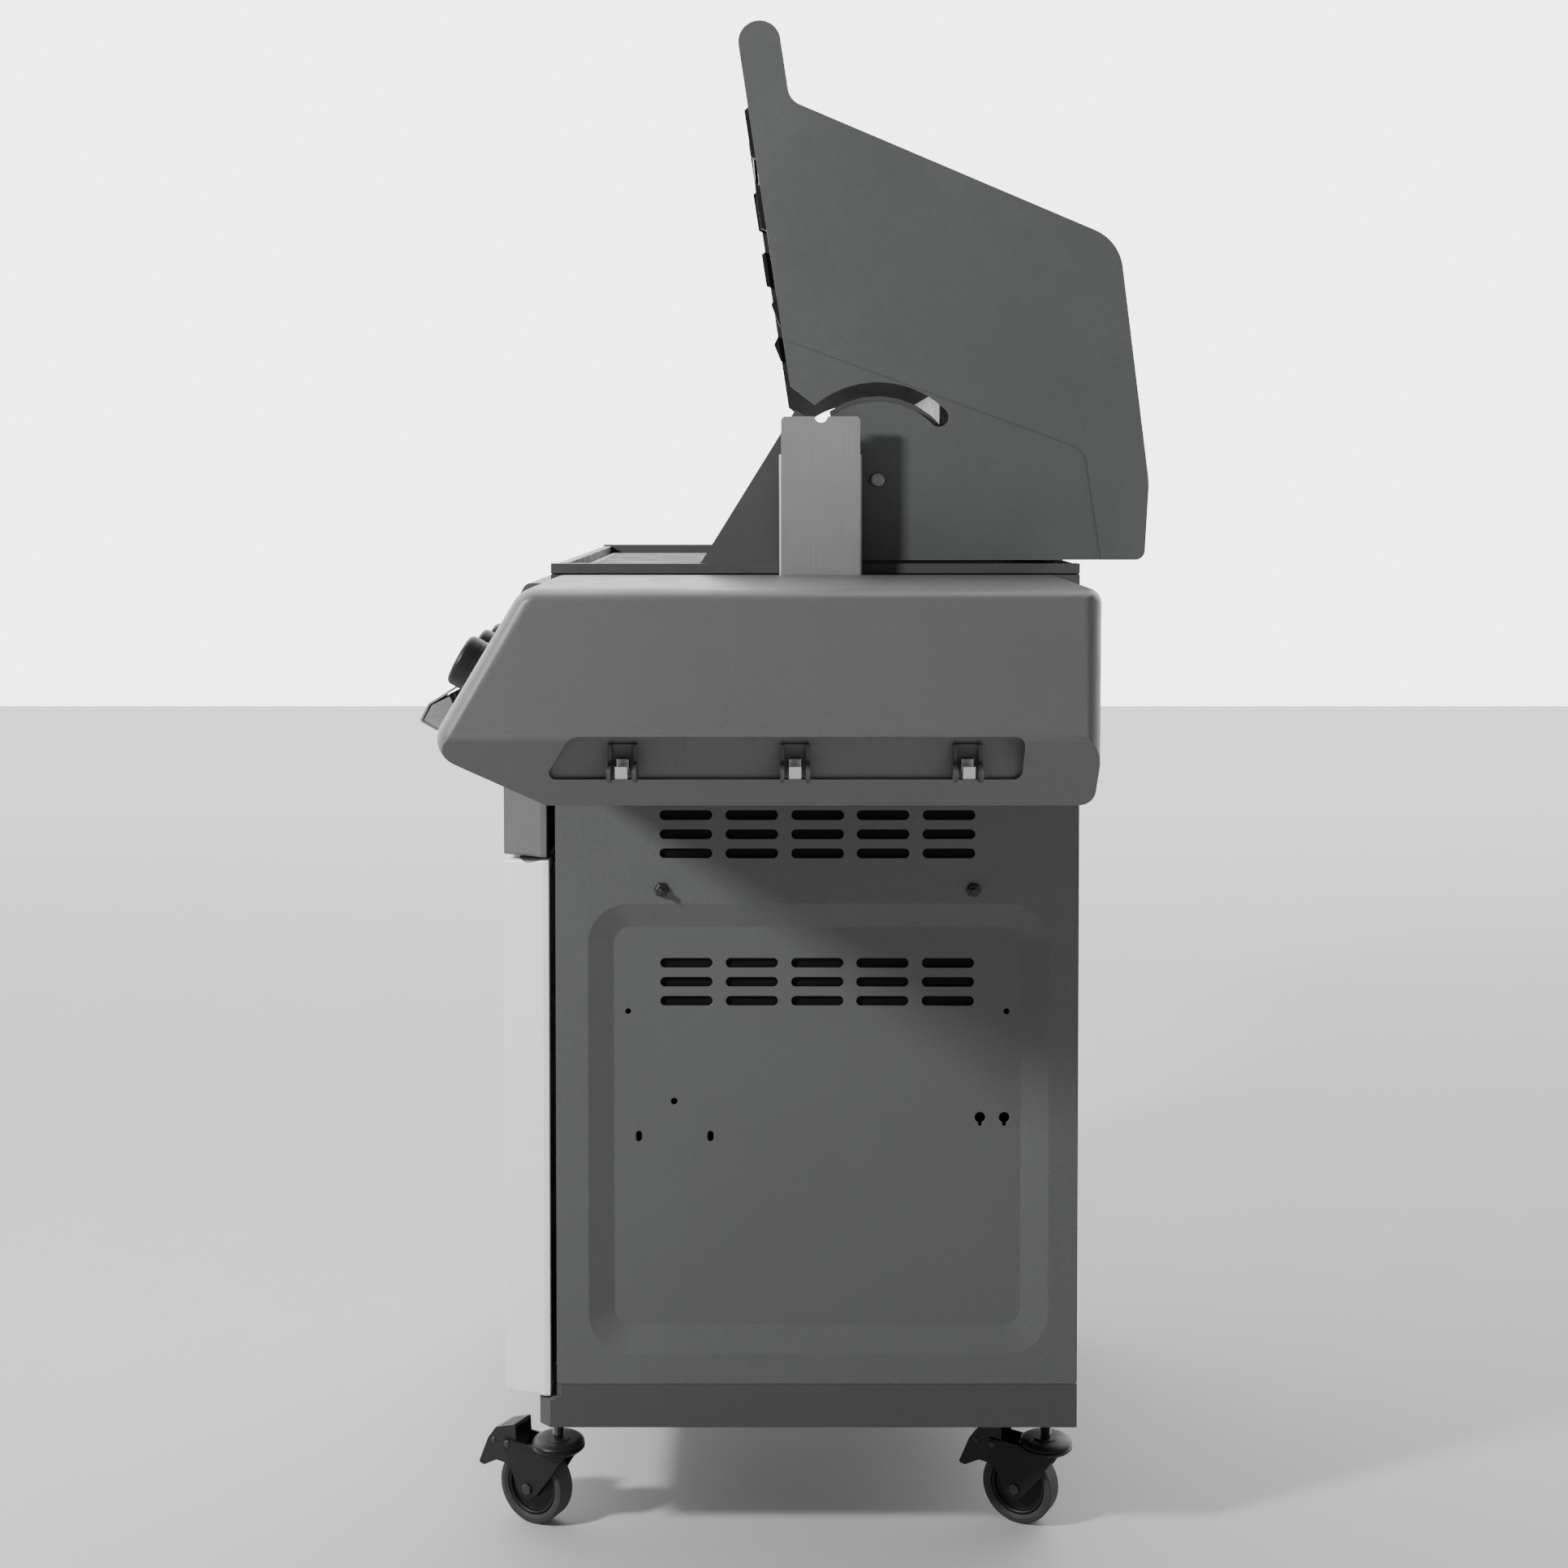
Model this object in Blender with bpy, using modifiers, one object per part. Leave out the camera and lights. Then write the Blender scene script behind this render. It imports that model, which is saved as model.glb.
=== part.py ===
"""Gas barbecue grill on a cabinet with two side tables and four braked casters.

Metres, +Z up.  The grill faces -Y and its right-hand side is +X.  The origin lies on the floor
under the middle of the bounding box.  The lid is modelled closed, about its hinge, and is
turned open by the empty that it hangs on.
"""

import math

import bmesh
import bpy
from mathutils import Vector

# ---------------------------------------------------------------- driving dimensions
GAP = 0.0003
SIDES = {"right": 1, "left": -1}

BODY_X = 0.330                      # half width of cabinet and cookbox
BODY_FRONT = -0.215
BODY_REAR = 0.330
BASE_BOTTOM = 0.134
BASE_TOP = 0.180
BASE_LIP_FRONT = -0.234
BASE_LIP_TOP = 0.163
PANEL_TOP = 0.8265                  # top of the cabinet side panels
DOOR_FRONT = -0.270
DOOR_BACK = -0.222
DOOR_BOTTOM = 0.166
DOOR_TOP = 0.732
FASCIA_TOP = 0.826
RETURN_BEVEL = 0.012                # how far door and fascia fronts are drawn in at the sides

RIM_TOP = 1.0405
RIM_FRONT = -0.219
CHEEK_IN = 0.3145
CHEEK_OUT = 0.3205
TUB_X = CHEEK_IN - GAP
BACK_WALL_Y = 0.1865
BACK_WALL_TOP = 1.2205

HINGE_Y = 0.120
HINGE_Z = 1.127
LID_OPEN_DEG = 81.3
CAP_OUT = 0.330
CAP_IN = 0.324
SHELL_X = CAP_IN - GAP
SLOT_OUTER = 0.101                  # radii of the curved spit slot about the hinge
SLOT_INNER = 0.081
HANDLE_Y = -0.4636
HANDLE_Z = -0.0527
LID_SWEEP_R = 0.0857                # the cap's rear corner is rounded about the hinge to pass the rim

PANEL_SLOPE_DEG = 62.0
KNOB_PITCH = 0.108
KNOB_Y = -0.307                     # where a knob's axis meets the panel face
KNOB_Z = 0.902
KNOB_R = 0.0305
KNOB_FACE = 0.047
VALVE_FACE = -0.012

TABLE_IN = 0.356
TABLE_OUT = 0.640
TABLE_FOOT_X = 0.606                # outer end of the underside, below the drawn-in band
TABLE_TOP = 1.030
TABLE_BOTTOM = 0.8275
BAND_TOP = 0.895
TABLE_WALL = 0.0025

WHEEL_R = 0.040
WHEEL_HALF = 0.012
AXLE_TRAIL = 0.029
SWIVEL_DEG = -29.0
BRAKE_PIVOT = (-0.056, 0.083)        # y and z of the pedal's rivet, from the stem
CASTER_X = 0.270
CASTER_FRONT_Y = -0.220
CASTER_REAR_Y = 0.305

BURNER_X = 0.185
TRAY_X = 0.3105
TRAY_BOTTOM = 0.8272
TRAY_TOP = 0.8545

# finish: colour, roughness, metallic
FINISHES = {
    "charcoal": ((0.105, 0.108, 0.107), 0.45, 0.0),
    "cast": ((0.095, 0.100, 0.099), 0.50, 0.2),
    "fascia": ((0.220, 0.220, 0.220), 0.45, 0.3),
    "silver": ((0.620, 0.625, 0.630), 0.35, 0.8),
    "steel": ((0.350, 0.350, 0.350), 0.30, 1.0),
    "black": ((0.020, 0.020, 0.021), 0.55, 0.0),
    "iron": ((0.060, 0.060, 0.062), 0.60, 0.6),
    "tyre": ((0.085, 0.086, 0.088), 0.65, 0.0),
    "brass": ((0.560, 0.420, 0.160), 0.35, 1.0),
    "tray": ((0.180, 0.182, 0.185), 0.45, 0.4),
}

for old in list(bpy.data.objects):
    bpy.data.objects.remove(old, do_unlink=True)

PARTS = bpy.data.collections.new("gas_grill")
CUTTERS = bpy.data.collections.new("cutters")
bpy.context.scene.collection.children.link(PARTS)
bpy.context.scene.collection.children.link(CUTTERS)


# ---------------------------------------------------------------- outlines
def rounded(corners, closed=True, steps=4):
    """Points along straight lines through corners (a, b, radius), each turned by an arc."""
    count = len(corners)
    points = []
    for index, (a, b, radius) in enumerate(corners):
        here = Vector((a, b))
        at_end = not closed and index in (0, count - 1)
        if radius == 0 or at_end:
            points.append((a, b))
            continue
        back = (Vector(corners[index - 1][:2]) - here).normalized()
        ahead = (Vector(corners[(index + 1) % count][:2]) - here).normalized()
        half = back.angle(ahead) / 2
        centre = here + (back + ahead).normalized() * radius / math.sin(half)
        first = here + back * radius / math.tan(half) - centre
        last = here + ahead * radius / math.tan(half) - centre
        start = math.atan2(first.y, first.x)
        sweep = (math.atan2(last.y, last.x) - start + math.pi) % (2 * math.pi) - math.pi
        points += arc(centre, radius, math.degrees(start), math.degrees(start + sweep), steps)
    return points


def arc(centre, radius, start_deg, end_deg, steps):
    """Points on an arc, both ends included."""
    points = []
    for step in range(steps + 1):
        angle = math.radians(start_deg + (end_deg - start_deg) * step / steps)
        points.append((centre[0] + radius * math.cos(angle), centre[1] + radius * math.sin(angle)))
    return points


def rectangle(a0, a1, b0, b1, radius=0.0, steps=4):
    corners = [(a0, b0, radius), (a1, b0, radius), (a1, b1, radius), (a0, b1, radius)]
    return rounded(corners, steps=steps)


def inset(loop, distance):
    """The closed loop moved inward by a distance, corner by corner (anticlockwise loops)."""
    moved = []
    for index, point in enumerate(loop):
        here = Vector(point)
        back = (here - Vector(loop[index - 1])).normalized()
        ahead = (Vector(loop[(index + 1) % len(loop)]) - here).normalized()
        normal = Vector((-back.y - ahead.y, back.x + ahead.x)).normalized()
        stretch = max(0.5, math.sqrt((1 + back.dot(ahead)) / 2))
        moved.append(tuple(here + normal * distance / stretch))
    return moved


def in_space(point, along, where):
    """A flat point placed across an axis: (y, z) across X, (x, z) across Y, (x, y) across Z."""
    a, b = point
    if along == "X":
        return Vector((where, a, b))
    if along == "Y":
        return Vector((a, where, b))
    return Vector((a, b, where))


# ---------------------------------------------------------------- objects
def empty(name, location, rotation=(0, 0, 0), parent=None):
    frame = bpy.data.objects.new(name, None)
    frame.location = location
    frame.rotation_euler = rotation
    frame.parent = parent
    PARTS.objects.link(frame)
    return frame


def mesh_object(name, bm, parent=None, location=(0, 0, 0)):
    mesh = bpy.data.meshes.new(name)
    bm.to_mesh(mesh)
    bm.free()
    obj = bpy.data.objects.new(name, mesh)
    obj.parent = parent
    obj.location = location
    PARTS.objects.link(obj)
    return obj


def box(name, low, high, parent=None):
    centre = (Vector(low) + Vector(high)) / 2
    bm = bmesh.new()
    bmesh.ops.create_cube(bm, size=1.0)
    bmesh.ops.scale(bm, vec=Vector(high) - Vector(low), verts=bm.verts)
    return mesh_object(name, bm, parent, centre)


def rod(name, start, end, radius, sides=16, parent=None):
    """A round bar from start to end, its origin in the middle."""
    run = Vector(end) - Vector(start)
    bm = bmesh.new()
    bmesh.ops.create_cone(bm, cap_ends=True, segments=sides, radius1=radius, radius2=radius,
                          depth=run.length)
    obj = mesh_object(name, bm, parent, (Vector(start) + Vector(end)) / 2)
    obj.rotation_euler = run.to_track_quat("Z", "Y").to_euler()
    return obj


def curve_mesh(curve, name, parent, location, rotation):
    """The curve as a welded mesh object, with its caps joined on."""
    guide = bpy.data.objects.new(name + "_guide", curve)
    PARTS.objects.link(guide)
    bpy.context.view_layer.update()
    evaluated = guide.evaluated_get(bpy.context.evaluated_depsgraph_get())
    mesh = bpy.data.meshes.new_from_object(evaluated)
    bpy.data.objects.remove(guide, do_unlink=True)
    bm = bmesh.new()
    bm.from_mesh(mesh)
    bmesh.ops.remove_doubles(bm, verts=bm.verts, dist=0.00001)
    bmesh.ops.recalc_face_normals(bm, faces=bm.faces)
    obj = mesh_object(name, bm, parent, location)
    obj.rotation_euler = rotation
    return obj


def slab(name, outline, along, low, high, holes=(), parent=None):
    """A flat outline, with any holes, as a plate from low to high along an axis."""
    curve = bpy.data.curves.new(name, "CURVE")
    curve.dimensions = "2D"
    curve.fill_mode = "BOTH"
    curve.extrude = (high - low) / 2
    for loop in [outline, *holes]:
        spline = curve.splines.new("POLY")
        spline.points.add(len(loop) - 1)
        for knot, point in zip(spline.points, loop):
            knot.co = (point[0], point[1], 0, 1)
        spline.use_cyclic_u = True
    turn = {"X": (math.pi / 2, 0, math.pi / 2), "Y": (math.pi / 2, 0, 0), "Z": (0, 0, 0)}[along]
    middle = in_space((0, 0), along, (low + high) / 2)
    return curve_mesh(curve, name, parent, middle, turn)


def tube(name, route, radius, parent=None):
    """A round bar along a route of points."""
    curve = bpy.data.curves.new(name, "CURVE")
    curve.dimensions = "3D"
    curve.bevel_depth = radius
    curve.bevel_resolution = 3
    curve.use_fill_caps = True
    spline = curve.splines.new("POLY")
    spline.points.add(len(route) - 1)
    for knot, point in zip(spline.points, route):
        knot.co = (*point, 1)
    return curve_mesh(curve, name, parent, (0, 0, 0), (0, 0, 0))


def turned(name, profile, parent=None, location=(0, 0, 0), rotation=(0, 0, 0), sides=24, ring=False):
    """A profile (radius, height), listed from the top down its outer side, spun about Z."""
    bm = bmesh.new()
    knots = [bm.verts.new((radius, 0, height)) for radius, height in profile]
    for first, second in zip(knots, knots[1:]):
        bm.edges.new((first, second))
    if ring:
        bm.edges.new((knots[-1], knots[0]))
    obj = mesh_object(name, bm, parent, location)
    obj.rotation_euler = rotation
    screw = obj.modifiers.new("turn", "SCREW")
    screw.steps = sides
    screw.render_steps = sides
    screw.use_merge_vertices = True
    screw.merge_threshold = 0.00001
    return obj


def thicken(obj, thickness):
    solid = obj.modifiers.new("sheet", "SOLIDIFY")
    solid.thickness = thickness
    solid.offset = -1
    solid.use_even_offset = True
    return obj


def face_toward(bm, toward, face):
    """Turn the open surface so that the given face looks toward a direction."""
    face.normal_update()
    if face.normal.dot(Vector(toward)) < 0:
        bmesh.ops.reverse_faces(bm, faces=bm.faces)


def sheet(name, path, along, low, high, thickness, toward, parent=None):
    """A folded sheet: a path drawn out along an axis, its first leg's face looking toward."""
    bm = bmesh.new()
    near = [bm.verts.new(in_space(point, along, low)) for point in path]
    far = [bm.verts.new(in_space(point, along, high)) for point in path]
    faces = []
    for index in range(len(path) - 1):
        faces.append(bm.faces.new((near[index], near[index + 1], far[index + 1], far[index])))
    face_toward(bm, toward, faces[0])
    return thicken(mesh_object(name, bm, parent), thickness)


def loft(name, levels, along, toward, parent=None, closed=True):
    """Loops of equal length, (loop, where) along an axis, joined in turn and filled at the end.

    Where is one place for the whole loop or a place for each of its points.
    """
    bm = bmesh.new()
    rings = []
    for loop, where in levels:
        places = where if isinstance(where, list) else [where] * len(loop)
        rings.append([bm.verts.new(in_space(point, along, place)) for point, place in zip(loop, places)])
    for outer, inner in zip(rings, rings[1:]):
        count = len(outer)
        for index in range(count):
            after = (index + 1) % count
            bm.faces.new((outer[index], outer[after], inner[after], inner[index]))
    last = bm.faces.new(rings[-1])
    if closed:
        bm.faces.new(rings[0])
    bmesh.ops.recalc_face_normals(bm, faces=bm.faces)
    face_toward(bm, toward, last)
    return mesh_object(name, bm, parent)


def pressing(name, levels, along, thickness, toward, parent=None):
    """A pressed sheet, open where its loops begin and filled where they end."""
    return thicken(loft(name, levels, along, toward, parent, closed=False), thickness)


def combine(target, operation, others):
    for other in others:
        PARTS.objects.unlink(other)
        CUTTERS.objects.link(other)
        other.hide_render = True
        other.display_type = "WIRE"
        step = target.modifiers.new(operation.lower(), "BOOLEAN")
        step.operation = operation
        step.solver = "EXACT"
        step.object = other
    return target


def unite(target, *others):
    return combine(target, "UNION", others)


def cut(target, *cutters):
    return combine(target, "DIFFERENCE", cutters)


def finish(obj, kind):
    """Give the piece its own material and round shading."""
    colour, roughness, metallic = FINISHES[kind]
    surface = bpy.data.materials.new(obj.name)
    surface.use_nodes = True
    shader = surface.node_tree.nodes["Principled BSDF"]
    shader.inputs["Base Color"].default_value = (*colour, 1)
    shader.inputs["Roughness"].default_value = roughness
    shader.inputs["Metallic"].default_value = metallic
    obj.data.materials.clear()
    obj.data.materials.append(surface)
    if obj.data.polygons:
        obj.data.shade_smooth()
        obj.data.set_sharp_from_angle(angle=math.radians(35))
    return obj


# ---------------------------------------------------------------- chassis
def build_base():
    """Deep pressed base with an inner flange that carries the caster stems."""
    draw = 0.012
    outline = [(BODY_X, BODY_REAR), (-BODY_X, BODY_REAR), (-BODY_X, BASE_LIP_FRONT + draw),
               (-BODY_X + draw, BASE_LIP_FRONT), (BODY_X - draw, BASE_LIP_FRONT),
               (BODY_X, BASE_LIP_FRONT + draw)]
    step_y = BODY_FRONT - 0.0005
    upper = [(BODY_X, BODY_REAR), (-BODY_X, BODY_REAR), (-BODY_X, step_y + 0.005),
             (-BODY_X + 0.005, step_y), (BODY_X - 0.005, step_y), (BODY_X, step_y + 0.005)]
    inner_x = 0.235
    inner_front = -0.185
    flange = [(inner_x, 0.270), (-inner_x, 0.270), (-inner_x, inner_front + 0.005),
              (-inner_x + 0.005, inner_front), (inner_x - 0.005, inner_front),
              (inner_x, inner_front + 0.005)]
    step_z, side_z = BASE_LIP_TOP, BASE_LIP_TOP + 0.005
    shoulder = [side_z + 0.004, side_z + 0.004, side_z, step_z, step_z, side_z]
    levels = [(flange, BASE_BOTTOM), (outline, BASE_BOTTOM), (outline, BASE_LIP_TOP),
              (upper, shoulder), (upper, BASE_TOP)]
    base = pressing("base_frame", levels, "Z", 0.0025, (0, 0, 1))
    for x in (-CASTER_X, CASTER_X):
        for y in (CASTER_FRONT_Y, CASTER_REAR_Y):
            cut(base, rod("stem_hole", (x, y, 0.12), (x, y, 0.15), 0.0068))
    finish(base, "charcoal")


def build_side_panel(side, sign):
    """Folded sheet with a pressed-in field framed by a sloping border."""
    low = BASE_TOP + GAP
    edge = rectangle(BODY_FRONT, BODY_REAR, low, PANEL_TOP, 0.003)
    border = rectangle(-0.182, 0.300, 0.211, 0.687, 0.043)
    field = rectangle(-0.154, 0.270, 0.241, 0.659, 0.017)
    fold = 0.014
    flange = rectangle(BODY_FRONT + fold, BODY_REAR - fold, low + fold, PANEL_TOP - fold, 0.001)
    levels = [(flange, 0.312), (edge, 0.312), (edge, BODY_X), (border, BODY_X), (field, 0.320)]
    levels = [(loop, sign * x) for loop, x in levels]
    panel = pressing("side_panel_" + side, levels, "X", 0.0015, (sign, 0, 0))
    finish(panel, "charcoal")


def build_rear_panel():
    """Cabinet back, folded forward at the top as a shelf behind the cookbox."""
    back = BODY_REAR - 0.002
    path = [(back, BASE_TOP + GAP), (back, RIM_TOP - 0.001), (BACK_WALL_Y + 0.004, RIM_TOP - 0.001)]
    finish(sheet("rear_panel", path, "X", -0.3117, 0.3117, 0.0015, (0, 1, 0)), "charcoal")


def front_loops(x0, x1, z0, z1, back, lip, left, right):
    """Loops of a front pressing: folded edge, upright sides and a face with sides drawn in."""
    fold = 0.012
    folded = rectangle(x0 + fold, x1 - fold, z0 + fold, z1 - fold, 0.001, steps=2)
    full = rectangle(x0, x1, z0, z1, 0.003, steps=2)
    face = rectangle(x0 + left, x1 - right, z0 + 0.002, z1 - 0.002, 0.003, steps=2)
    return [(folded, back), (full, back), (full, back - 0.006), (face, lip)]


def build_fascia():
    """Front panel between the doors and the grease tray."""
    levels = front_loops(-BODY_X, BODY_X, DOOR_TOP + 0.002, FASCIA_TOP, DOOR_BACK - 0.002, DOOR_FRONT,
                         RETURN_BEVEL, RETURN_BEVEL)
    finish(pressing("front_fascia", levels, "Y", 0.0015, (0, -1, 0)), "fascia")


def build_door(side, sign):
    """Door pressing on a vertical hinge axis at its outer edge."""
    axis = empty("door_axis_" + side, (sign * 0.3225, -0.228, 0))
    inner = 0.0012 - 0.3225
    outer = 0.3285 - 0.3225
    back = DOOR_BACK + 0.228
    front = DOOR_FRONT + 0.228
    levels = front_loops(inner, outer, DOOR_BOTTOM, DOOR_TOP, back, front, 0.002, RETURN_BEVEL)
    mirrored = [([(sign * x, z) for x, z in loop], y) for loop, y in levels]
    door = pressing("door_" + side, mirrored, "Y", 0.0015, (0, -1, 0), axis)
    finish(door, "silver")
    build_door_handle(side, sign, axis, front)


def build_door_handle(side, sign, axis, door_face):
    """Bar handle on two posts, near the doors' meeting edges."""
    x = sign * (0.045 - 0.3225)
    bar_y = door_face - 0.024
    low, high = 0.500, 0.680
    handle = rod("door_handle_" + side, (x, bar_y, low), (x, bar_y, high), 0.007, parent=axis)
    for z in (low + 0.025, high - 0.025):
        unite(handle, rod("handle_post", (x, door_face - GAP, z), (x, bar_y, z), 0.0055, 12, axis))
    finish(handle, "silver")


# ---------------------------------------------------------------- cookbox
def build_cookbox():
    """Tub folded from one sheet: front wall, shallow floor and a tall back wall."""
    front = RIM_FRONT + 0.0105
    path = [(RIM_FRONT + 0.0005, RIM_TOP - 0.002), (front, RIM_TOP - 0.002), (front, 0.885),
            (-0.150, 0.866), (0.130, 0.866), (BACK_WALL_Y - 0.002, 0.885),
            (BACK_WALL_Y - 0.002, BACK_WALL_TOP)]
    tub = sheet("cookbox", path, "X", -TUB_X, TUB_X, 0.002, (0, 0, 1))
    cut(tub, box("grease_outlet", (-0.15, -0.04, 0.85), (0.15, 0.04, 0.88)))
    for index in range(3):
        x = (index - 1) * KNOB_PITCH
        cut(tub, rod("burner_hole", (x, -0.23, 0.903), (x, -0.19, 0.903), 0.0150))
    finish(tub, "iron")


def build_end(side, sign):
    """Cookbox end casting with the cheek that carries the lid, and two rim ribs."""
    shoulder = rounded([
        (RIM_FRONT, RIM_TOP, 0), (RIM_FRONT, PANEL_TOP + GAP, 0.002), (BODY_REAR, PANEL_TOP + GAP, 0.002),
        (BODY_REAR, RIM_TOP, 0.002), (0.250, RIM_TOP, 0.004), (0.1988, 1.1638, 0)], closed=False)
    crown = arc((HINGE_Y, HINGE_Z), 0.087, 25, 125, 8)[1:]
    seat = arc((0.061, 1.190), 0.011, 0, -180, 8)
    front = rounded([(0.050, 1.190, 0), (0.0348, 1.200, 0.002), (-0.064, RIM_TOP, 0.006),
                     (RIM_FRONT, RIM_TOP, 0)], closed=False)
    outline = shoulder + crown + seat + front[1:-1]
    pin_hole = arc((HINGE_Y, HINGE_Z), 0.0043, 0, 345, 15)
    low, high = sorted((sign * CHEEK_IN, sign * CHEEK_OUT))
    end = slab("cookbox_end_" + side, outline, "X", low, high, [pin_hole])
    for bottom, top in ((RIM_TOP - 0.0100, RIM_TOP), (1.0185, 1.0290)):
        inner, outer = sorted((sign * 0.318, sign * BODY_X))
        unite(end, box("rim_rib", (inner, RIM_FRONT + 0.0005, bottom), (outer, BODY_REAR - 0.0005, top)))
    finish(end, "iron")


def build_spit_bracket(side, sign):
    """Folded bracket that seats the rotisserie spit, on a spacer foot."""
    front, rear = 0.018, 0.103
    top = 1.192
    middle = 0.061
    notch = [(middle + 0.011, top), (middle + 0.006, top - 0.006), (middle, top - 0.0095),
             (middle - 0.006, top - 0.006), (middle - 0.014, top)]
    outline = [(front, 0.952), (rear, 0.952), (rear, top), *notch, (front, top)]
    low, high = sorted((sign * 0.3340, sign * 0.3360))
    bracket = slab("spit_bracket_" + side, outline, "X", low, high)
    for y in (front, rear - 0.002):
        inner, outer = sorted((sign * 0.3345, sign * 0.3535))
        unite(bracket, box("flange", (inner, y, 0.9525), (outer, y + 0.002, 1.153)))
    inner, outer = sorted((sign * (CHEEK_OUT + GAP), sign * 0.3345))
    unite(bracket, box("foot", (inner, front + 0.010, 0.960), (outer, rear - 0.010, 1.010)))
    finish(bracket, "steel")


def build_hinge_pin(side, sign):
    profile = [(0, 0.0034), (0.0060, 0.0034), (0.0072, 0.0022), (0.0072, GAP), (0.0040, GAP),
               (0.0040, -0.0190), (0, -0.0190)]
    pin = turned("lid_hinge_pin_" + side, profile, None, (sign * CAP_OUT, HINGE_Y, HINGE_Z),
                 (0, sign * math.pi / 2, 0), 16)
    finish(pin, "steel")


def slotted(x0, x1, y0, y1, columns, rows, bar, rim):
    """Slots of a bar grid between a rim, as hole outlines."""
    holes = []
    width = (x1 - x0 - 2 * rim - bar * (columns - 1)) / columns
    depth = (y1 - y0 - 2 * rim - bar * (rows - 1)) / rows
    for column in range(columns):
        for row in range(rows):
            x = x0 + rim + column * (width + bar)
            y = y0 + rim + row * (depth + bar)
            holes.append(rectangle(x, x + width, y, y + depth))
    return holes


def build_grates():
    """Two cast grates side by side and a warming rack above the rear half."""
    for side, sign in SIDES.items():
        x0, x1 = sorted((sign * 0.0006, sign * (CHEEK_IN - 0.004)))
        y0, y1 = -0.2065, 0.1825
        holes = slotted(x0, x1, y0, y1, 14, 2, 0.008, 0.009)
        grate = slab("cooking_grate_" + side, rectangle(x0, x1, y0, y1), "Z", 1.018, 1.030, holes)
        finish(grate, "iron")
    holes = slotted(-0.300, 0.300, 0.075, 0.170, 24, 1, 0.004, 0.005)
    rack = slab("warming_rack", rectangle(-0.300, 0.300, 0.075, 0.170), "Z", 1.1500, 1.1545, holes)
    finish(rack, "steel")


def build_burners():
    """Burner tubes with heat tents over them, each fed by its own valve."""
    for index in range(3):
        place = index - 1
        start_x = place * KNOB_PITCH
        end_x = place * BURNER_X
        route = [(start_x, -0.2330, 0.903), (start_x, -0.1950, 0.903)]
        for step in range(1, 6):
            blend = (1 - math.cos(math.pi * step / 5)) / 2
            route.append((start_x + (end_x - start_x) * blend, -0.1950 + 0.022 * step,
                          0.903 + 0.022 * blend))
        route.append((end_x, 0.160, 0.925))
        finish(tube("burner_%d" % (index + 1), route, 0.012), "steel")
        peak = 0.985
        path = [(end_x - 0.050, peak - 0.034), (end_x, peak), (end_x + 0.050, peak - 0.034)]
        tent = sheet("heat_tent_%d" % (index + 1), path, "Y", -0.195, 0.172, 0.0015, (0, 0, 1))
        finish(tent, "iron")


# ---------------------------------------------------------------- lid
def lid_section():
    """Outline of the closed lid from the front rim over the top to the rear rim, about the hinge."""
    return [(-0.4000, -0.0310, 0.020), (-0.2065, 0.2835, 0.048), (0.0450, 0.2770, 0.100),
            (0.1235, 0.2605, 0.010)]


def build_lid_caps(pivot):
    for side, sign in SIDES.items():
        nose = arc((HANDLE_Y, HANDLE_Z), 0.0222, 270, 90, 8)
        mouth_deg = 211.3
        closed_deg = 127.0
        middle_r = (SLOT_OUTER + SLOT_INNER) / 2
        end_centre = arc((0, 0), middle_r, closed_deg, closed_deg, 1)[0]
        rim = -0.0749
        lobe_deg = 180 + math.degrees(math.asin(-rim / SLOT_INNER))
        corner_deg = -22.8
        rim_deg = -math.degrees(math.asin(-rim / LID_SWEEP_R))
        corner = arc((0, 0), LID_SWEEP_R, corner_deg, rim_deg, 5)
        crown = rounded([(HANDLE_Y, -0.0310, 0), *lid_section(), (*corner[0], 0)], closed=False, steps=5)
        slot = arc((0, 0), SLOT_OUTER, mouth_deg, closed_deg, 10)
        end = arc(end_centre, middle_r - SLOT_INNER, closed_deg, closed_deg - 180, 6)[1:-1]
        lobe = arc((0, 0), SLOT_INNER, closed_deg, lobe_deg, 12)
        outline = nose[:-1] + crown + corner[1:] + lobe[::-1] + end[::-1] + slot[::-1] + [(-0.1098, rim)]
        low, high = sorted((sign * CAP_IN, sign * CAP_OUT))
        hole = arc((0, 0), 0.0043, 0, 345, 15)
        cap = slab("lid_cap_" + side, outline, "X", low, high, [hole], pivot)
        field = rounded([(-0.1795, -0.100, 0), (-0.0020, 0.2222, 0.025), (0.150, 0.2222, 0),
                         (0.150, -0.100, 0)])
        inner, outer = sorted((sign * (CAP_OUT - 0.0025), sign * (CAP_OUT + 0.01)))
        cut(cap, slab("cap_field", field, "X", inner, outer, (), pivot))
        finish(cap, "cast")


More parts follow.
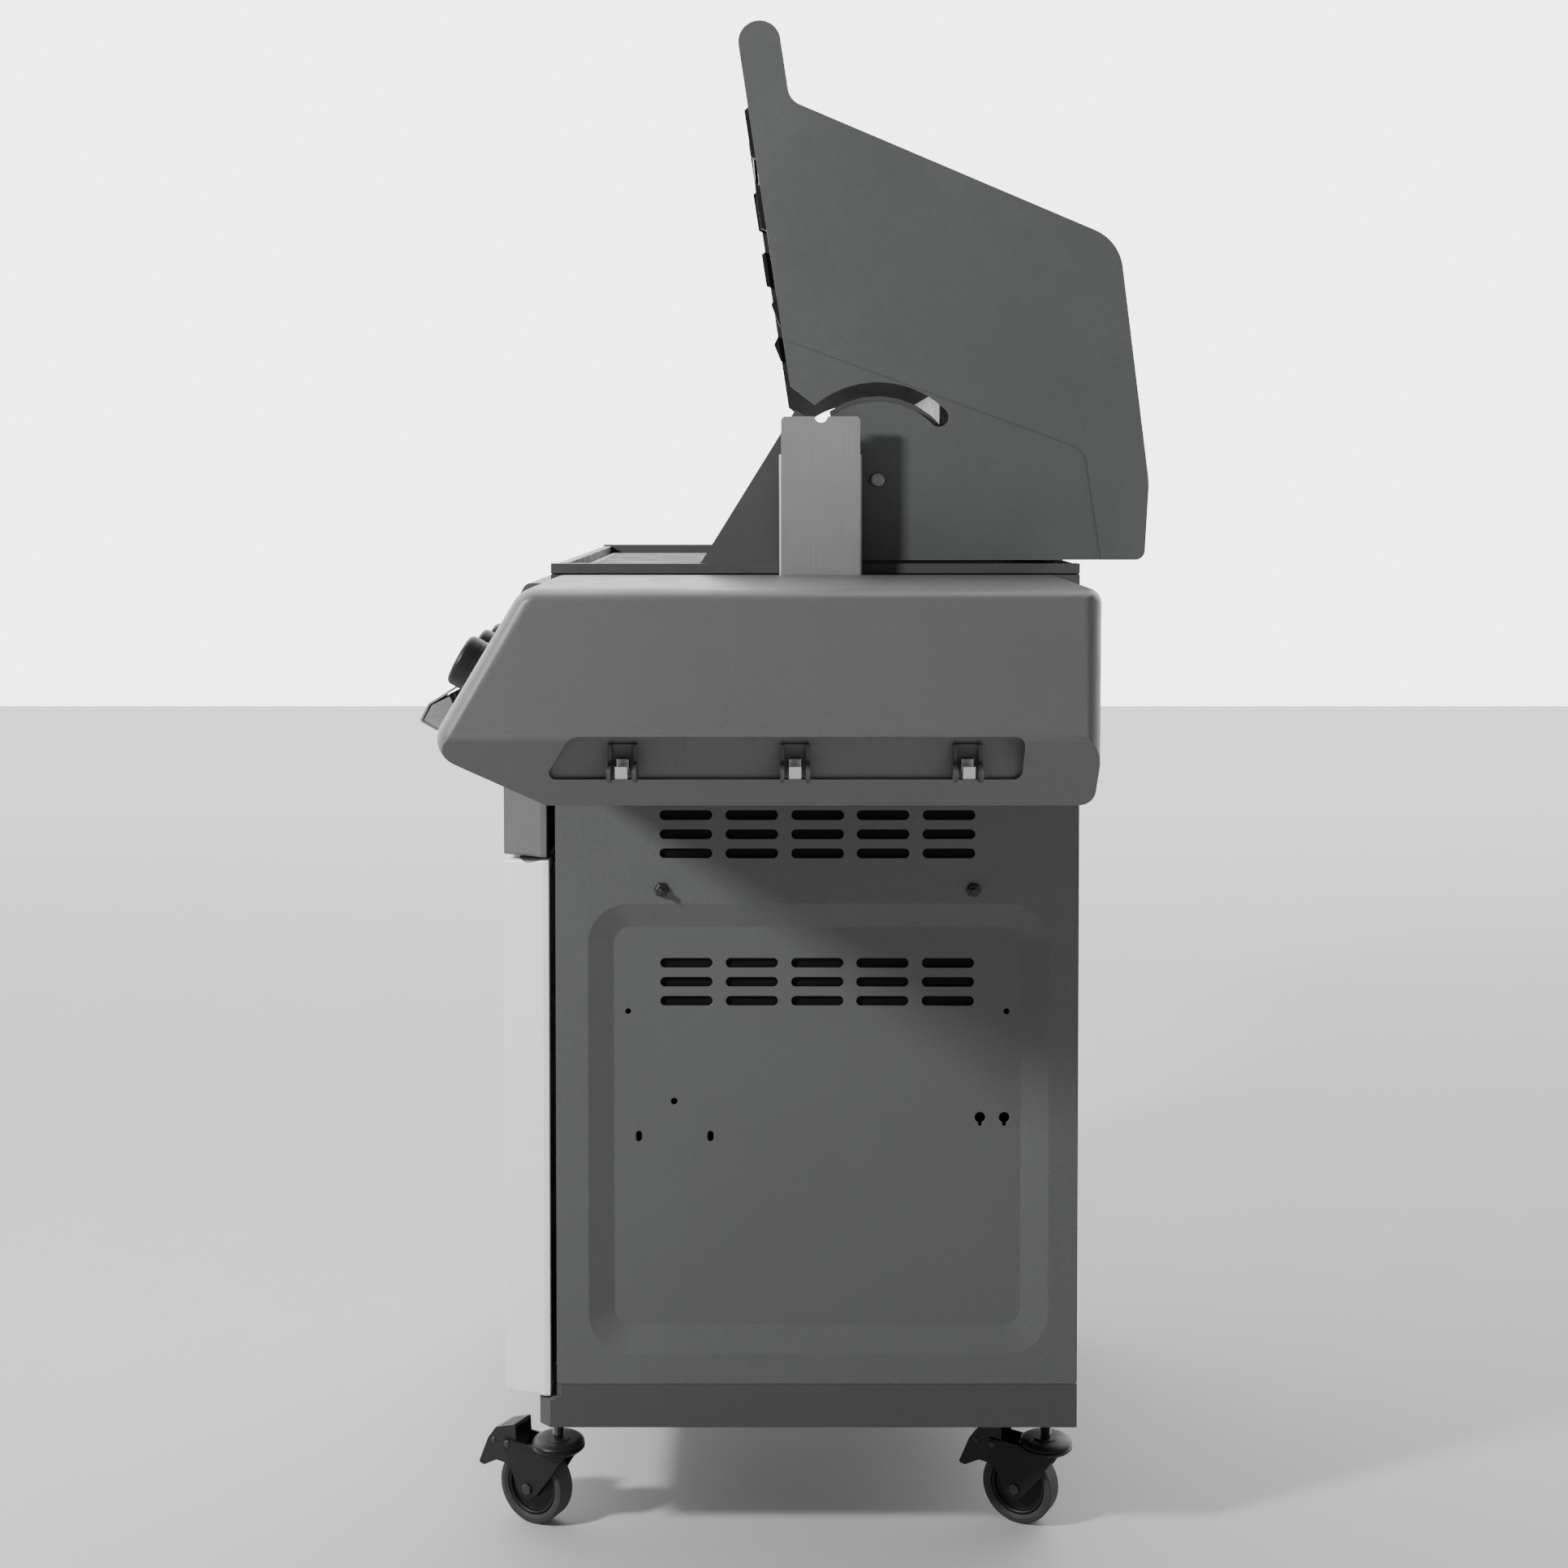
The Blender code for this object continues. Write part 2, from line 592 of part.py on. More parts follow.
def build_lid(pivot):
    """Shell between the end caps, liner inside it, handle tube and thermometer."""
    section = [(-0.4135, -0.0735, 0), (-0.4250, -0.0735, 0), *lid_section()[1:], (0.1050, 0.1400, 0)]
    path = rounded(section, closed=False, steps=5)
    shell = sheet("lid_shell", path, "X", -SHELL_X, SHELL_X, 0.0015, (0, 0, -1), pivot)
    slope = math.radians(58.4)
    out = Vector((-math.sin(slope), math.cos(slope)))
    gauge = Vector((-0.3170, 0.1040)) + out * 0.0003
    start = gauge - out * 0.04
    cut(shell, rod("gauge_hole", (0, *start), (0, *(gauge + out * 0.02)), 0.0070, 16, pivot))
    finish(shell, "charcoal")

    lined = [(-0.4020, -0.0700, 0), (-0.1985, 0.2680, 0.036), (0.0430, 0.2620, 0.080),
             (0.1050, 0.2480, 0)]
    path = rounded(lined, closed=False, steps=4)
    liner = sheet("lid_liner", path, "X", -0.309, 0.309, 0.0010, (0, -1, 1), pivot)
    cut(liner, rod("probe_hole", (0, *(gauge - out * 0.05)), (0, *(gauge + out * 0.02)), 0.0070, 16, pivot))
    finish(liner, "iron")

    handle = rod("lid_handle", (-SHELL_X, HANDLE_Y, HANDLE_Z), (SHELL_X, HANDLE_Y, HANDLE_Z), 0.015,
                 20, pivot)
    finish(handle, "steel")

    profile = [(0, 0.0120), (0.0330, 0.0120), (0.0360, 0.0090), (0.0360, GAP), (0.0050, GAP),
               (0.0050, -0.0400), (0, -0.0400)]
    dial = turned("lid_thermometer", profile, pivot, (0, *gauge), (slope, 0, 0))
    finish(dial, "steel")


# ---------------------------------------------------------------- controls
def build_control_panel():
    """Sloping panel, open at the back, with a short return under it."""
    slope = math.radians(PANEL_SLOPE_DEG)
    top, bottom, back = 1.020, 0.8590, -0.2240
    top_y = KNOB_Y + (top - KNOB_Z) / math.tan(slope)
    low_y = KNOB_Y - (KNOB_Z - bottom) / math.tan(slope)
    corners = [(back, top, 0), (top_y, top, 0.008), (low_y, bottom, 0.004), (low_y + 0.035, bottom, 0)]
    side = rounded(corners, closed=False, steps=3)
    panel = sheet("control_panel", side, "X", -BODY_X, BODY_X, 0.002, (0, 0, 1))
    ends = []
    for sign in SIDES.values():
        low, high = sorted((sign * (BODY_X - 0.002), sign * BODY_X))
        ends.append(slab("panel_end", inset(side[::-1], 0.0004), "X", low, high))
    unite(panel, *ends)
    into = Vector((0, math.sin(slope), -math.cos(slope)))
    for index in range(3):
        face = Vector(((index - 1) * KNOB_PITCH, KNOB_Y, KNOB_Z))
        cut(panel, rod("stem_hole", face - into * 0.02, face + into * 0.02, 0.0060))
    finish(panel, "charcoal")


def build_control(index):
    """One valve with its push-and-turn stem and knob, on an axis square to the panel."""
    slope = math.radians(PANEL_SLOPE_DEG)
    number = str(index + 1)
    axis = empty("knob_axis_" + number, ((index - 1) * KNOB_PITCH, KNOB_Y, KNOB_Z), (slope, 0, 0))
    bore = 0.0044
    body = [(0.0110, VALVE_FACE), (0.0110, -0.050), (0.0020, -0.050), (0.0020, -0.0385),
            (bore, -0.0380), (bore, VALVE_FACE)]
    valve = turned("valve_" + number, body, axis, sides=16, ring=True)
    finish(valve, "brass")
    stem = turned("valve_stem_" + number, [(0, 0.0330), (0.0040, 0.0330), (0.0040, -0.0320), (0, -0.0320)],
                  axis, sides=12)
    finish(stem, "steel")
    foot = 0.0075
    profile = [(0, KNOB_FACE), (0.0255, KNOB_FACE), (0.0290, KNOB_FACE - 0.0014),
               (KNOB_R, KNOB_FACE - 0.0045), (KNOB_R, foot), (0.0275, foot), (0.0255, 0.038), (0.0090, 0.038),
               (0.0090, foot + 0.004), (0.0044, foot + 0.004), (0.0044, 0.0334), (0, 0.0334)]
    knob = turned("knob_" + number, profile, axis, sides=20)
    finish(knob, "black")


def build_manifold():
    """Gas pipe behind the valves, ending in a hexagonal inlet fitting."""
    y, z = -0.2535, 0.8765
    pipe = rod("gas_manifold", (-0.160, y, z), (0.262, y, z), 0.0080)
    unite(pipe, rod("inlet_nut", (0.258, y, z), (0.284, y, z), 0.0110, 6))
    unite(pipe, rod("inlet_spigot", (0.280, y, z), (0.306, y, z), 0.0065))
    finish(pipe, "brass")


# ---------------------------------------------------------------- side tables
def table_section(draw):
    """Table outline seen from the side, drawn in all round: upright back, rounded nose in front."""
    corners = [(-0.196, TABLE_BOTTOM), (0.308, TABLE_BOTTOM), (0.309, TABLE_TOP), (-0.213, TABLE_TOP),
               (-0.300, 0.884)]
    radii = (0.014, 0.014, 0.014, 0.024, 0.026)
    smaller = [(y, z, max(radius - draw, 0.002)) for (y, z), radius in zip(inset(corners, draw), radii)]
    return rounded(smaller)


def table_solid(name, sign, wall):
    """The table's filled outer shape, or with a wall given, the hollow inside that wall."""
    levels = [(table_section(wall), TABLE_IN - wall)]
    for back, draw in ((0.034, 0), (0.018, 0.002), (0.009, 0.006), (0.003, 0.014), (0, 0.024)):
        levels.append((table_section(wall + draw), TABLE_OUT - wall - back))
    levels = [(loop, sign * x) for loop, x in levels]
    solid = loft(name, levels, "X", (sign, 0, 0))
    run = (TABLE_OUT - TABLE_FOOT_X) / (BAND_TOP - TABLE_BOTTOM)
    shift = wall * math.hypot(1, run)
    low, high = TABLE_BOTTOM - 0.02, BAND_TOP + 0.02
    band = [(TABLE_OUT + 0.1, low), (TABLE_OUT + 0.1, high), (TABLE_OUT - shift + 0.02 * run, high),
            (TABLE_FOOT_X - shift - 0.02 * run, low)]
    return cut(solid, slab("band_wedge", [(sign * x, z) for x, z in band], "Y", -0.4, 0.4))


def build_side_table(side, sign):
    """Pressed table, open toward the cookbox, with a tool niche in its drawn-in lower band."""
    front, rear, low, high, back = -0.193, 0.245, 0.855, 0.898, 0.5505
    table = table_solid("side_table_" + side, sign, 0)
    hollow = table_solid("table_hollow", sign, TABLE_WALL)
    x0, x1 = sorted((sign * (back - TABLE_WALL), sign * (TABLE_OUT + 0.02)))
    cut(hollow, box("niche_wall", (x0, front - TABLE_WALL, low - TABLE_WALL),
                    (x1, rear + TABLE_WALL, high + TABLE_WALL)))
    cut(table, hollow)
    niche = rounded([(front + 0.012, low, 0.010), (rear, low, 0.010), (rear, high, 0.008),
                     (front + 0.002, high, 0.010)])
    x0, x1 = sorted((sign * back, sign * (TABLE_OUT + 0.02)))
    cut(table, slab("niche", niche, "X", x0, x1))
    for y in (-0.130, 0.200):
        x0, x1 = sorted((sign * (CHEEK_OUT + GAP), sign * (TABLE_IN + 0.010)))
        unite(table, box("mount_bar", (x0, y - 0.030, 0.8285), (x1, y + 0.030, 0.8395)))
    finish(table, "charcoal")


# ---------------------------------------------------------------- grease system
def build_grease_tray():
    """Full-width tray on the side panels' flanges, with its pull handle and a drip pan."""
    front, rear = -0.318, 0.290
    full = rectangle(-TRAY_X, TRAY_X, front, rear, 0.006, steps=2)
    floor = rectangle(-TRAY_X + 0.008, TRAY_X - 0.008, front + 0.008, rear - 0.008, 0.006, steps=2)
    levels = [(full, TRAY_TOP), (floor, TRAY_BOTTOM)]
    tray = pressing("grease_tray", levels, "Z", 0.0012, (0, 0, -1))
    finish(tray, "iron")

    root = front - GAP
    outline = rounded([(root, 0.8290, 0), (root, 0.8450, 0), (-0.3450, 0.8500, 0.006), (-0.3620, 0.8660, 0.003),
                       (-0.3656, 0.8806, 0.001), (-0.3882, 0.8664, 0.004), (-0.3977, 0.8479, 0.001),
                       (-0.3806, 0.8384, 0.004), (-0.3450, 0.8295, 0.004)], steps=3)
    finish(slab("tray_handle", outline, "X", -0.0685, 0.0685), "tray")

    outer = rectangle(-0.085, 0.085, -0.055, 0.065, 0.012, steps=3)
    inner = inset(outer, 0.008)
    levels = [(outer, 0.8480), (inner, 0.8287)]
    finish(pressing("drip_pan", levels, "Z", 0.0008, (0, 0, -1)), "silver")


# ---------------------------------------------------------------- casters
def build_caster(name, x, y):
    """Trailing caster: fork with race and stem, wheel, and a rocking brake pedal."""
    stem = empty("swivel_" + name, (x, y, 0), (0, 0, math.radians(SWIVEL_DEG)))
    race_top = 0.0970
    race_bottom = 0.0835
    axle = (-AXLE_TRAIL, WHEEL_R)

    disc = [(0, race_top), (0.0230, race_top), (0.0285, 0.0935), (0.0285, 0.0870), (0.0230, race_bottom),
            (0, race_bottom)]
    fork = turned("caster_fork_" + name, disc, stem, sides=16)
    fork_side = rounded([(0.018, 0.0850, 0.003), (-0.062, 0.0885, 0.004), (-0.060, 0.0760, 0.004),
                         (-0.0485, 0.0520, 0.006), (-0.0400, 0.0330, 0.005), (-0.0290, 0.0280, 0.009),
                         (-0.0190, 0.0340, 0.006), (-0.0010, 0.0560, 0.008)], steps=2)
    for side in (-1, 1):
        low, high = sorted((side * 0.0150, side * 0.0172))
        unite(fork, slab("fork_side", fork_side, "X", low, high, (), stem))
    unite(fork, box("fork_bridge", (-0.0170, -0.022, 0.0815), (0.0170, 0.0170, 0.0848), stem))
    unite(fork, rod("stem", (0, 0, 0.095), (0, 0, BASE_LIP_TOP - 0.0040), 0.0060, 12, stem))
    unite(fork, rod("nut", (0, 0, 0.1215), (0, 0, 0.1320), 0.0105, 6, stem))
    unite(fork, rod("axle", (-0.0190, *axle), (0.0190, *axle), 0.0040, 12, stem))
    finish(fork, "black")

    tread = [(WHEEL_R - 0.002, WHEEL_HALF), (WHEEL_R, WHEEL_HALF - 0.003), (WHEEL_R, -WHEEL_HALF + 0.003),
             (WHEEL_R - 0.002, -WHEEL_HALF), (0.031, -WHEEL_HALF), (0.029, -0.006), (0.013, -0.006),
             (0.011, -WHEEL_HALF), (0.0043, -WHEEL_HALF), (0.0043, WHEEL_HALF), (0.011, WHEEL_HALF),
             (0.013, 0.006), (0.029, 0.006), (0.031, WHEEL_HALF)]
    wheel = turned("caster_wheel_" + name, tread, stem, (0, *axle), (0, math.pi / 2, 0), 20, True)
    finish(wheel, "tyre")

    brake_axis = empty("brake_axis_" + name, (0, *BRAKE_PIVOT), (0, 0, 0), stem)
    cheek = [(-0.0470, 0.1055), (-0.0728, 0.0972), (-0.0835, 0.0830), (-0.0960, 0.0535), (-0.0885, 0.0520),
             (-0.0720, 0.0612), (-0.0558, 0.0600), (-0.0500, 0.0750), (-0.0460, 0.0900)]
    lobes = [(-0.0470, 0.1055), (-0.0728, 0.0972), (-0.0835, 0.0830), (-0.0960, 0.0535), (-0.0885, 0.0520),
             (-0.0775, 0.0720), (-0.0745, 0.0850), (-0.0660, 0.0925), (-0.0470, 0.1010)]
    plates = []
    for outline, low, high in ((lobes, -0.0133, 0.0133), (cheek, 0.0128, 0.0145), (cheek, -0.0145, -0.0128)):
        about = [(y - BRAKE_PIVOT[0], z - BRAKE_PIVOT[1], 0.0015) for y, z in outline]
        plates.append(slab("brake_pedal_" + name, rounded(about, steps=2), "X", low, high, (), brake_axis))
    finish(unite(plates[0], *plates[1:]), "black")


# ---------------------------------------------------------------- assembly
build_base()
for side_name, side_sign in SIDES.items():
    build_side_panel(side_name, side_sign)
    build_door(side_name, side_sign)
    build_end(side_name, side_sign)
    build_spit_bracket(side_name, side_sign)
    build_hinge_pin(side_name, side_sign)
    build_side_table(side_name, side_sign)
build_rear_panel()
build_fascia()
build_cookbox()
build_grates()
build_burners()
lid_pivot = empty("lid_axis", (0, HINGE_Y, HINGE_Z), (-math.radians(LID_OPEN_DEG), 0, 0))
build_lid_caps(lid_pivot)
build_lid(lid_pivot)
build_control_panel()
for control in range(3):
    build_control(control)
build_manifold()
build_grease_tray()
for caster_name, caster_x, caster_y in (
        ("front_right", CASTER_X, CASTER_FRONT_Y), ("front_left", -CASTER_X, CASTER_FRONT_Y),
        ("rear_right", CASTER_X, CASTER_REAR_Y), ("rear_left", -CASTER_X, CASTER_REAR_Y)):
    build_caster(caster_name, caster_x, caster_y)
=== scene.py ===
"""Gas barbecue grill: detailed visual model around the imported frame, in metres, +Z up.

The grill faces -Y and its right-hand side is +X. Pieces on the lid are written closed, about the
hinge, and are turned open by LID_OPEN.
"""

import math

import bmesh
import bpy
from mathutils import Matrix, Vector


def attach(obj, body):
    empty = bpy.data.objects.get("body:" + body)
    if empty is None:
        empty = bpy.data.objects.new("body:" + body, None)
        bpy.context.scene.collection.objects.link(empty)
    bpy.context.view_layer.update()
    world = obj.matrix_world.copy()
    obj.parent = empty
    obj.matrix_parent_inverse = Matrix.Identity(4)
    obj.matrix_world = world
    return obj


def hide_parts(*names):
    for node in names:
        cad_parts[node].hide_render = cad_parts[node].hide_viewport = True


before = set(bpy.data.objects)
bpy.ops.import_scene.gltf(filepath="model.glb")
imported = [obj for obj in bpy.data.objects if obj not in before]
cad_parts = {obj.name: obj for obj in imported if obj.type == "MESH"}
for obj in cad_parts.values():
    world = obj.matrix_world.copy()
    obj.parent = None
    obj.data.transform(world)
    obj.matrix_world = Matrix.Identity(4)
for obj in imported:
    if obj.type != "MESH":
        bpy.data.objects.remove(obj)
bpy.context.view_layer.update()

# ---- measures
GAP = 0.0003
SIDES = {"right": 1, "left": -1}
BODY_X = 0.330
BODY_FRONT = -0.215
BODY_REAR = 0.330
BASE_TOP = 0.180
PANEL_TOP = 0.8265
CHEEK_OUT = 0.3205
HINGE = Vector((0.0, 0.120, 1.127))
LID_OPEN_DEG = 81.3
LID_OPEN = Matrix.Translation(HINGE) @ Matrix.Rotation(-math.radians(LID_OPEN_DEG), 4, "X")
CAP_OUT = 0.330
CAP_IN = 0.324
SLOT_OUTER = 0.101
SLOT_INNER = 0.081
HANDLE_Y = -0.4636
HANDLE_Z = -0.0527
LID_SWEEP_R = 0.0857
PANEL_SLOPE = math.radians(62.0)
KNOB_PITCH = 0.108
KNOB_Y = -0.307
KNOB_Z = 0.902
KNOB_R = 0.0305
KNOB_FACE = 0.047
TABLE_IN = 0.356
TABLE_OUT = 0.640
TABLE_FOOT_X = 0.580
TABLE_TOP = 1.030
TABLE_BOTTOM = 0.8275
BAND_TOP = 0.895
TABLE_WALL = 0.0025
WHEEL_R = 0.040
AXLE_TRAIL = 0.029
BRAKE_PIVOT = (-0.056, 0.083)
SWIVEL_DEG = -29.0
LEG_OUT = 0.0172
PEDAL_OUT = 0.0145
BUMPER_IN = 0.3160
BUMPER_OUT = 0.3235
LID_RIM = -0.0749
HOOK_PLACES = (-0.123, 0.033, 0.189)
LOUVRE_COLUMNS = (-0.079, -0.0105, 0.058, 0.126, 0.1945)
LOUVRE_ROWS = (0.779, 0.759, 0.739, 0.622, 0.602, 0.582)
LOUVRE_HALF = (0.02725, 0.005)
SIDE_SHEET = 0.0015
CUT_IN, CUT_OUT = 0.300, 0.340
BURNER_PITCH = 0.185
PORT_PITCH = 0.0088
FLOOR_HALF = 8
CAMERA_PLACE = (2.51, 0.023, 1.126)
CAMERA_TILT = math.radians(1.75)
CAMERA_LENS = 48.37
CAMERA_SHIFT = -0.1522
CASTERS = {"front_right": (0.270, -0.220), "front_left": (-0.270, -0.220),
           "rear_right": (0.270, 0.305), "rear_left": (-0.270, 0.305)}


# ---- outlines
def arc(centre, radius, start_deg, end_deg, steps):
    points = []
    for step in range(steps + 1):
        angle = math.radians(start_deg + (end_deg - start_deg) * step / steps)
        points.append((centre[0] + radius * math.cos(angle), centre[1] + radius * math.sin(angle)))
    return points


def rounded(corners, closed=True, steps=8):
    """Points along straight lines through corners (a, b, radius), each turned by an arc."""
    count = len(corners)
    points = []
    for index, (a, b, radius) in enumerate(corners):
        here = Vector((a, b))
        if radius == 0 or (not closed and index in (0, count - 1)):
            points.append((a, b))
            continue
        back = (Vector(corners[index - 1][:2]) - here).normalized()
        ahead = (Vector(corners[(index + 1) % count][:2]) - here).normalized()
        half = back.angle(ahead) / 2
        centre = here + (back + ahead).normalized() * radius / math.sin(half)
        first = here + back * radius / math.tan(half) - centre
        last = here + ahead * radius / math.tan(half) - centre
        start = math.atan2(first.y, first.x)
        sweep = (math.atan2(last.y, last.x) - start + math.pi) % (2 * math.pi) - math.pi
        points += arc(centre, radius, math.degrees(start), math.degrees(start + sweep), steps)
    return points


def rectangle(a0, a1, b0, b1, radius=0.0, steps=8):
    return rounded([(a0, b0, radius), (a1, b0, radius), (a1, b1, radius), (a0, b1, radius)], steps=steps)


def circle(a, b, radius, steps=24):
    return arc((a, b), radius, 0, 360, steps)[:-1]


def inset(loop, distance):
    """The closed anticlockwise loop moved inward by a distance, corner by corner."""
    moved = []
    for index, point in enumerate(loop):
        here = Vector(point)
        back = (here - Vector(loop[index - 1])).normalized()
        ahead = (Vector(loop[(index + 1) % len(loop)]) - here).normalized()
        normal = Vector((-back.y - ahead.y, back.x + ahead.x)).normalized()
        stretch = max(0.5, math.sqrt((1 + back.dot(ahead)) / 2))
        moved.append(tuple(here + normal * distance / stretch))
    return moved


def in_space(point, along, where):
    a, b = point
    if along == "X":
        return Vector((where, a, b))
    if along == "Y":
        return Vector((a, where, b))
    return Vector((a, b, where))


# ---- mesh building
def raw(name, bm):
    mesh = bpy.data.meshes.new(name)
    bmesh.ops.recalc_face_normals(bm, faces=bm.faces)
    bm.to_mesh(mesh)
    bm.free()
    obj = bpy.data.objects.new(name, mesh)
    bpy.context.scene.collection.objects.link(obj)
    return obj


def evaluated(obj):
    """Apply the object's modifiers to its mesh."""
    bpy.context.view_layer.update()
    mesh = bpy.data.meshes.new_from_object(obj.evaluated_get(bpy.context.evaluated_depsgraph_get()))
    obj.modifiers.clear()
    old = obj.data
    obj.data = mesh
    if not old.users:
        bpy.data.meshes.remove(old)
    return obj


def slab(name, outline, along, low, high, holes=()):
    """A flat outline with holes as a plate from low to high along an axis."""
    low, high = sorted((low, high))
    curve = bpy.data.curves.new(name, "CURVE")
    curve.dimensions = "2D"
    curve.fill_mode = "BOTH"
    curve.extrude = (high - low) / 2
    for loop in [outline, *holes]:
        spline = curve.splines.new("POLY")
        spline.points.add(len(loop) - 1)
        for knot, point in zip(spline.points, loop):
            knot.co = (point[0], point[1], 0, 1)
        spline.use_cyclic_u = True
    guide = bpy.data.objects.new(name + "_guide", curve)
    bpy.context.scene.collection.objects.link(guide)
    bpy.context.view_layer.update()
    mesh = bpy.data.meshes.new_from_object(guide.evaluated_get(bpy.context.evaluated_depsgraph_get()))
    bpy.data.objects.remove(guide, do_unlink=True)
    turn = {"X": (math.pi / 2, 0, math.pi / 2), "Y": (math.pi / 2, 0, 0), "Z": (0, 0, 0)}[along]
    place = Matrix.Translation(in_space((0, 0), along, (low + high) / 2))
    for axis, angle in (("X", turn[0]), ("Z", turn[2])):
        if axis == "X":
            spin = Matrix.Rotation(angle, 4, "X")
        else:
            spin = Matrix.Rotation(angle, 4, "Z") @ spin
    bm = bmesh.new()
    bm.from_mesh(mesh)
    bpy.data.meshes.remove(mesh)
    bmesh.ops.remove_doubles(bm, verts=bm.verts, dist=0.00001)
    bmesh.ops.transform(bm, matrix=place @ spin, verts=bm.verts)
    return raw(name, bm)


def box(name, low, high):
    bm = bmesh.new()
    bmesh.ops.create_cube(bm, size=1.0)
    size = [abs(b - a) for a, b in zip(low, high)]
    bmesh.ops.scale(bm, vec=size, verts=bm.verts)
    bmesh.ops.translate(bm, vec=(Vector(low) + Vector(high)) / 2, verts=bm.verts)
    return raw(name, bm)


def turned(name, profile, place=None, sides=48, ring=False):
    """A profile (radius, height), spun about Z, then put in place."""
    bm = bmesh.new()
    rings = []
    for radius, height in profile:
        if radius < 1e-6:
            rings.append([bm.verts.new((0, 0, height))])
            continue
        rings.append([bm.verts.new((radius * math.cos(2 * math.pi * step / sides),
                                    radius * math.sin(2 * math.pi * step / sides), height))
                      for step in range(sides)])
    pairs = list(zip(rings, rings[1:]))
    if ring:
        pairs.append((rings[-1], rings[0]))
    for first, second in pairs:
        for step in range(sides):
            after = (step + 1) % sides
            if len(first) == 1 and len(second) == 1:
                continue
            if len(first) == 1:
                bm.faces.new((first[0], second[step], second[after]))
            elif len(second) == 1:
                bm.faces.new((first[step], first[after], second[0]))
            else:
                bm.faces.new((first[step], first[after], second[after], second[step]))
    if place is not None:
        bmesh.ops.transform(bm, matrix=place, verts=bm.verts)
    return raw(name, bm)


def loft(name, levels, along, closed=True):
    """Loops of equal length, (loop, where) along an axis, joined in turn and filled at the end."""
    bm = bmesh.new()
    rings = []
    for loop, where in levels:
        rings.append([bm.verts.new(in_space(point, along, where)) for point in loop])
    for outer, inner in zip(rings, rings[1:]):
        for index in range(len(outer)):
            after = (index + 1) % len(outer)
            bm.faces.new((outer[index], outer[after], inner[after], inner[index]))
    bm.faces.new(rings[-1])
    if closed:
        bm.faces.new(rings[0])
    return raw(name, bm)


def sheet(name, path, along, low, high, thickness, side):
    """A folded sheet: a path drawn out along an axis, its thickness laid to one side of the path."""
    offset = []
    for index, point in enumerate(path):
        here = Vector(point)
        back = (here - Vector(path[index - 1])).normalized() if index else None
        ahead = (Vector(path[index + 1]) - here).normalized() if index + 1 < len(path) else None
        back = back or ahead
        ahead = ahead or back
        normal = Vector((-back.y - ahead.y, back.x + ahead.x)).normalized()
        stretch = max(0.4, math.sqrt((1 + back.dot(ahead)) / 2))
        offset.append(tuple(here + normal * side * thickness / stretch))
    return slab(name, list(path) + offset[::-1], along, low, high)


def pressing(name, levels, along, thickness, toward):
    """A pressed sheet, open where its loops begin and filled where they end."""
    obj = loft(name, levels, along, closed=False)
    bm = bmesh.new()
    bm.from_mesh(obj.data)
    bm.faces.ensure_lookup_table()
    last = max(bm.faces, key=lambda face: len(face.verts))
    if last.normal.dot(Vector(toward)) < 0:
        bmesh.ops.reverse_faces(bm, faces=bm.faces)
    bm.to_mesh(obj.data)
    bm.free()
    solid = obj.modifiers.new("sheet", "SOLIDIFY")
    solid.thickness = thickness
    solid.offset = -1
    solid.use_even_offset = True
    return evaluated(obj)


def joined(name, pieces):
    """Several closed meshes as one object (shells may touch)."""
    bm = bmesh.new()
    for piece in pieces:
        bm.from_mesh(piece.data)
        bpy.data.objects.remove(piece, do_unlink=True)
    return raw(name, bm)


def boolean(target, tools, operation):
    tool = tools[0] if len(tools) == 1 else joined("tool", tools)
    step = target.modifiers.new("step", "BOOLEAN")
    step.operation = operation
    step.solver = "EXACT"
    step.use_self = True
    step.object = tool
    evaluated(target)
    bpy.data.objects.remove(tool, do_unlink=True)
    return target


def cut(target, *tools):
    return boolean(target, list(tools), "DIFFERENCE")


def unite(target, *tools):
    for tool in tools:
        boolean(target, [tool], "UNION")
    return target


def transformed(obj, matrix):
    obj.data.transform(matrix)
    obj.data.update()
    return obj


def piece(obj, body, surface, slot, width=0.0008, segments=2, angle=32, replaces=(), crease=32):
    """Finish a piece: soft edges, smooth shading, its material and body; the slot argument is not used."""
    mesh = bmesh.new()
    mesh.from_mesh(obj.data)
    bmesh.ops.remove_doubles(mesh, verts=mesh.verts, dist=0.00002)
    bmesh.ops.dissolve_degenerate(mesh, edges=mesh.edges, dist=0.00002)
    mesh.to_mesh(obj.data)
    mesh.free()
    obj.data.materials.clear()
    obj.data.materials.append(surface)
    obj.data.shade_smooth()
    obj.data.set_sharp_from_angle(angle=math.radians(crease))
    if width:
        soft = obj.modifiers.new("edges", "BEVEL")
        soft.width = width
        soft.segments = segments
        soft.limit_method = "ANGLE"
        soft.angle_limit = math.radians(angle)
        soft.use_clamp_overlap = True
        even = obj.modifiers.new("even", "WEIGHTED_NORMAL")
        even.weight = 100
        even.keep_sharp = True
    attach(obj, body)
    if replaces:
        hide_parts(*replaces)
    return obj


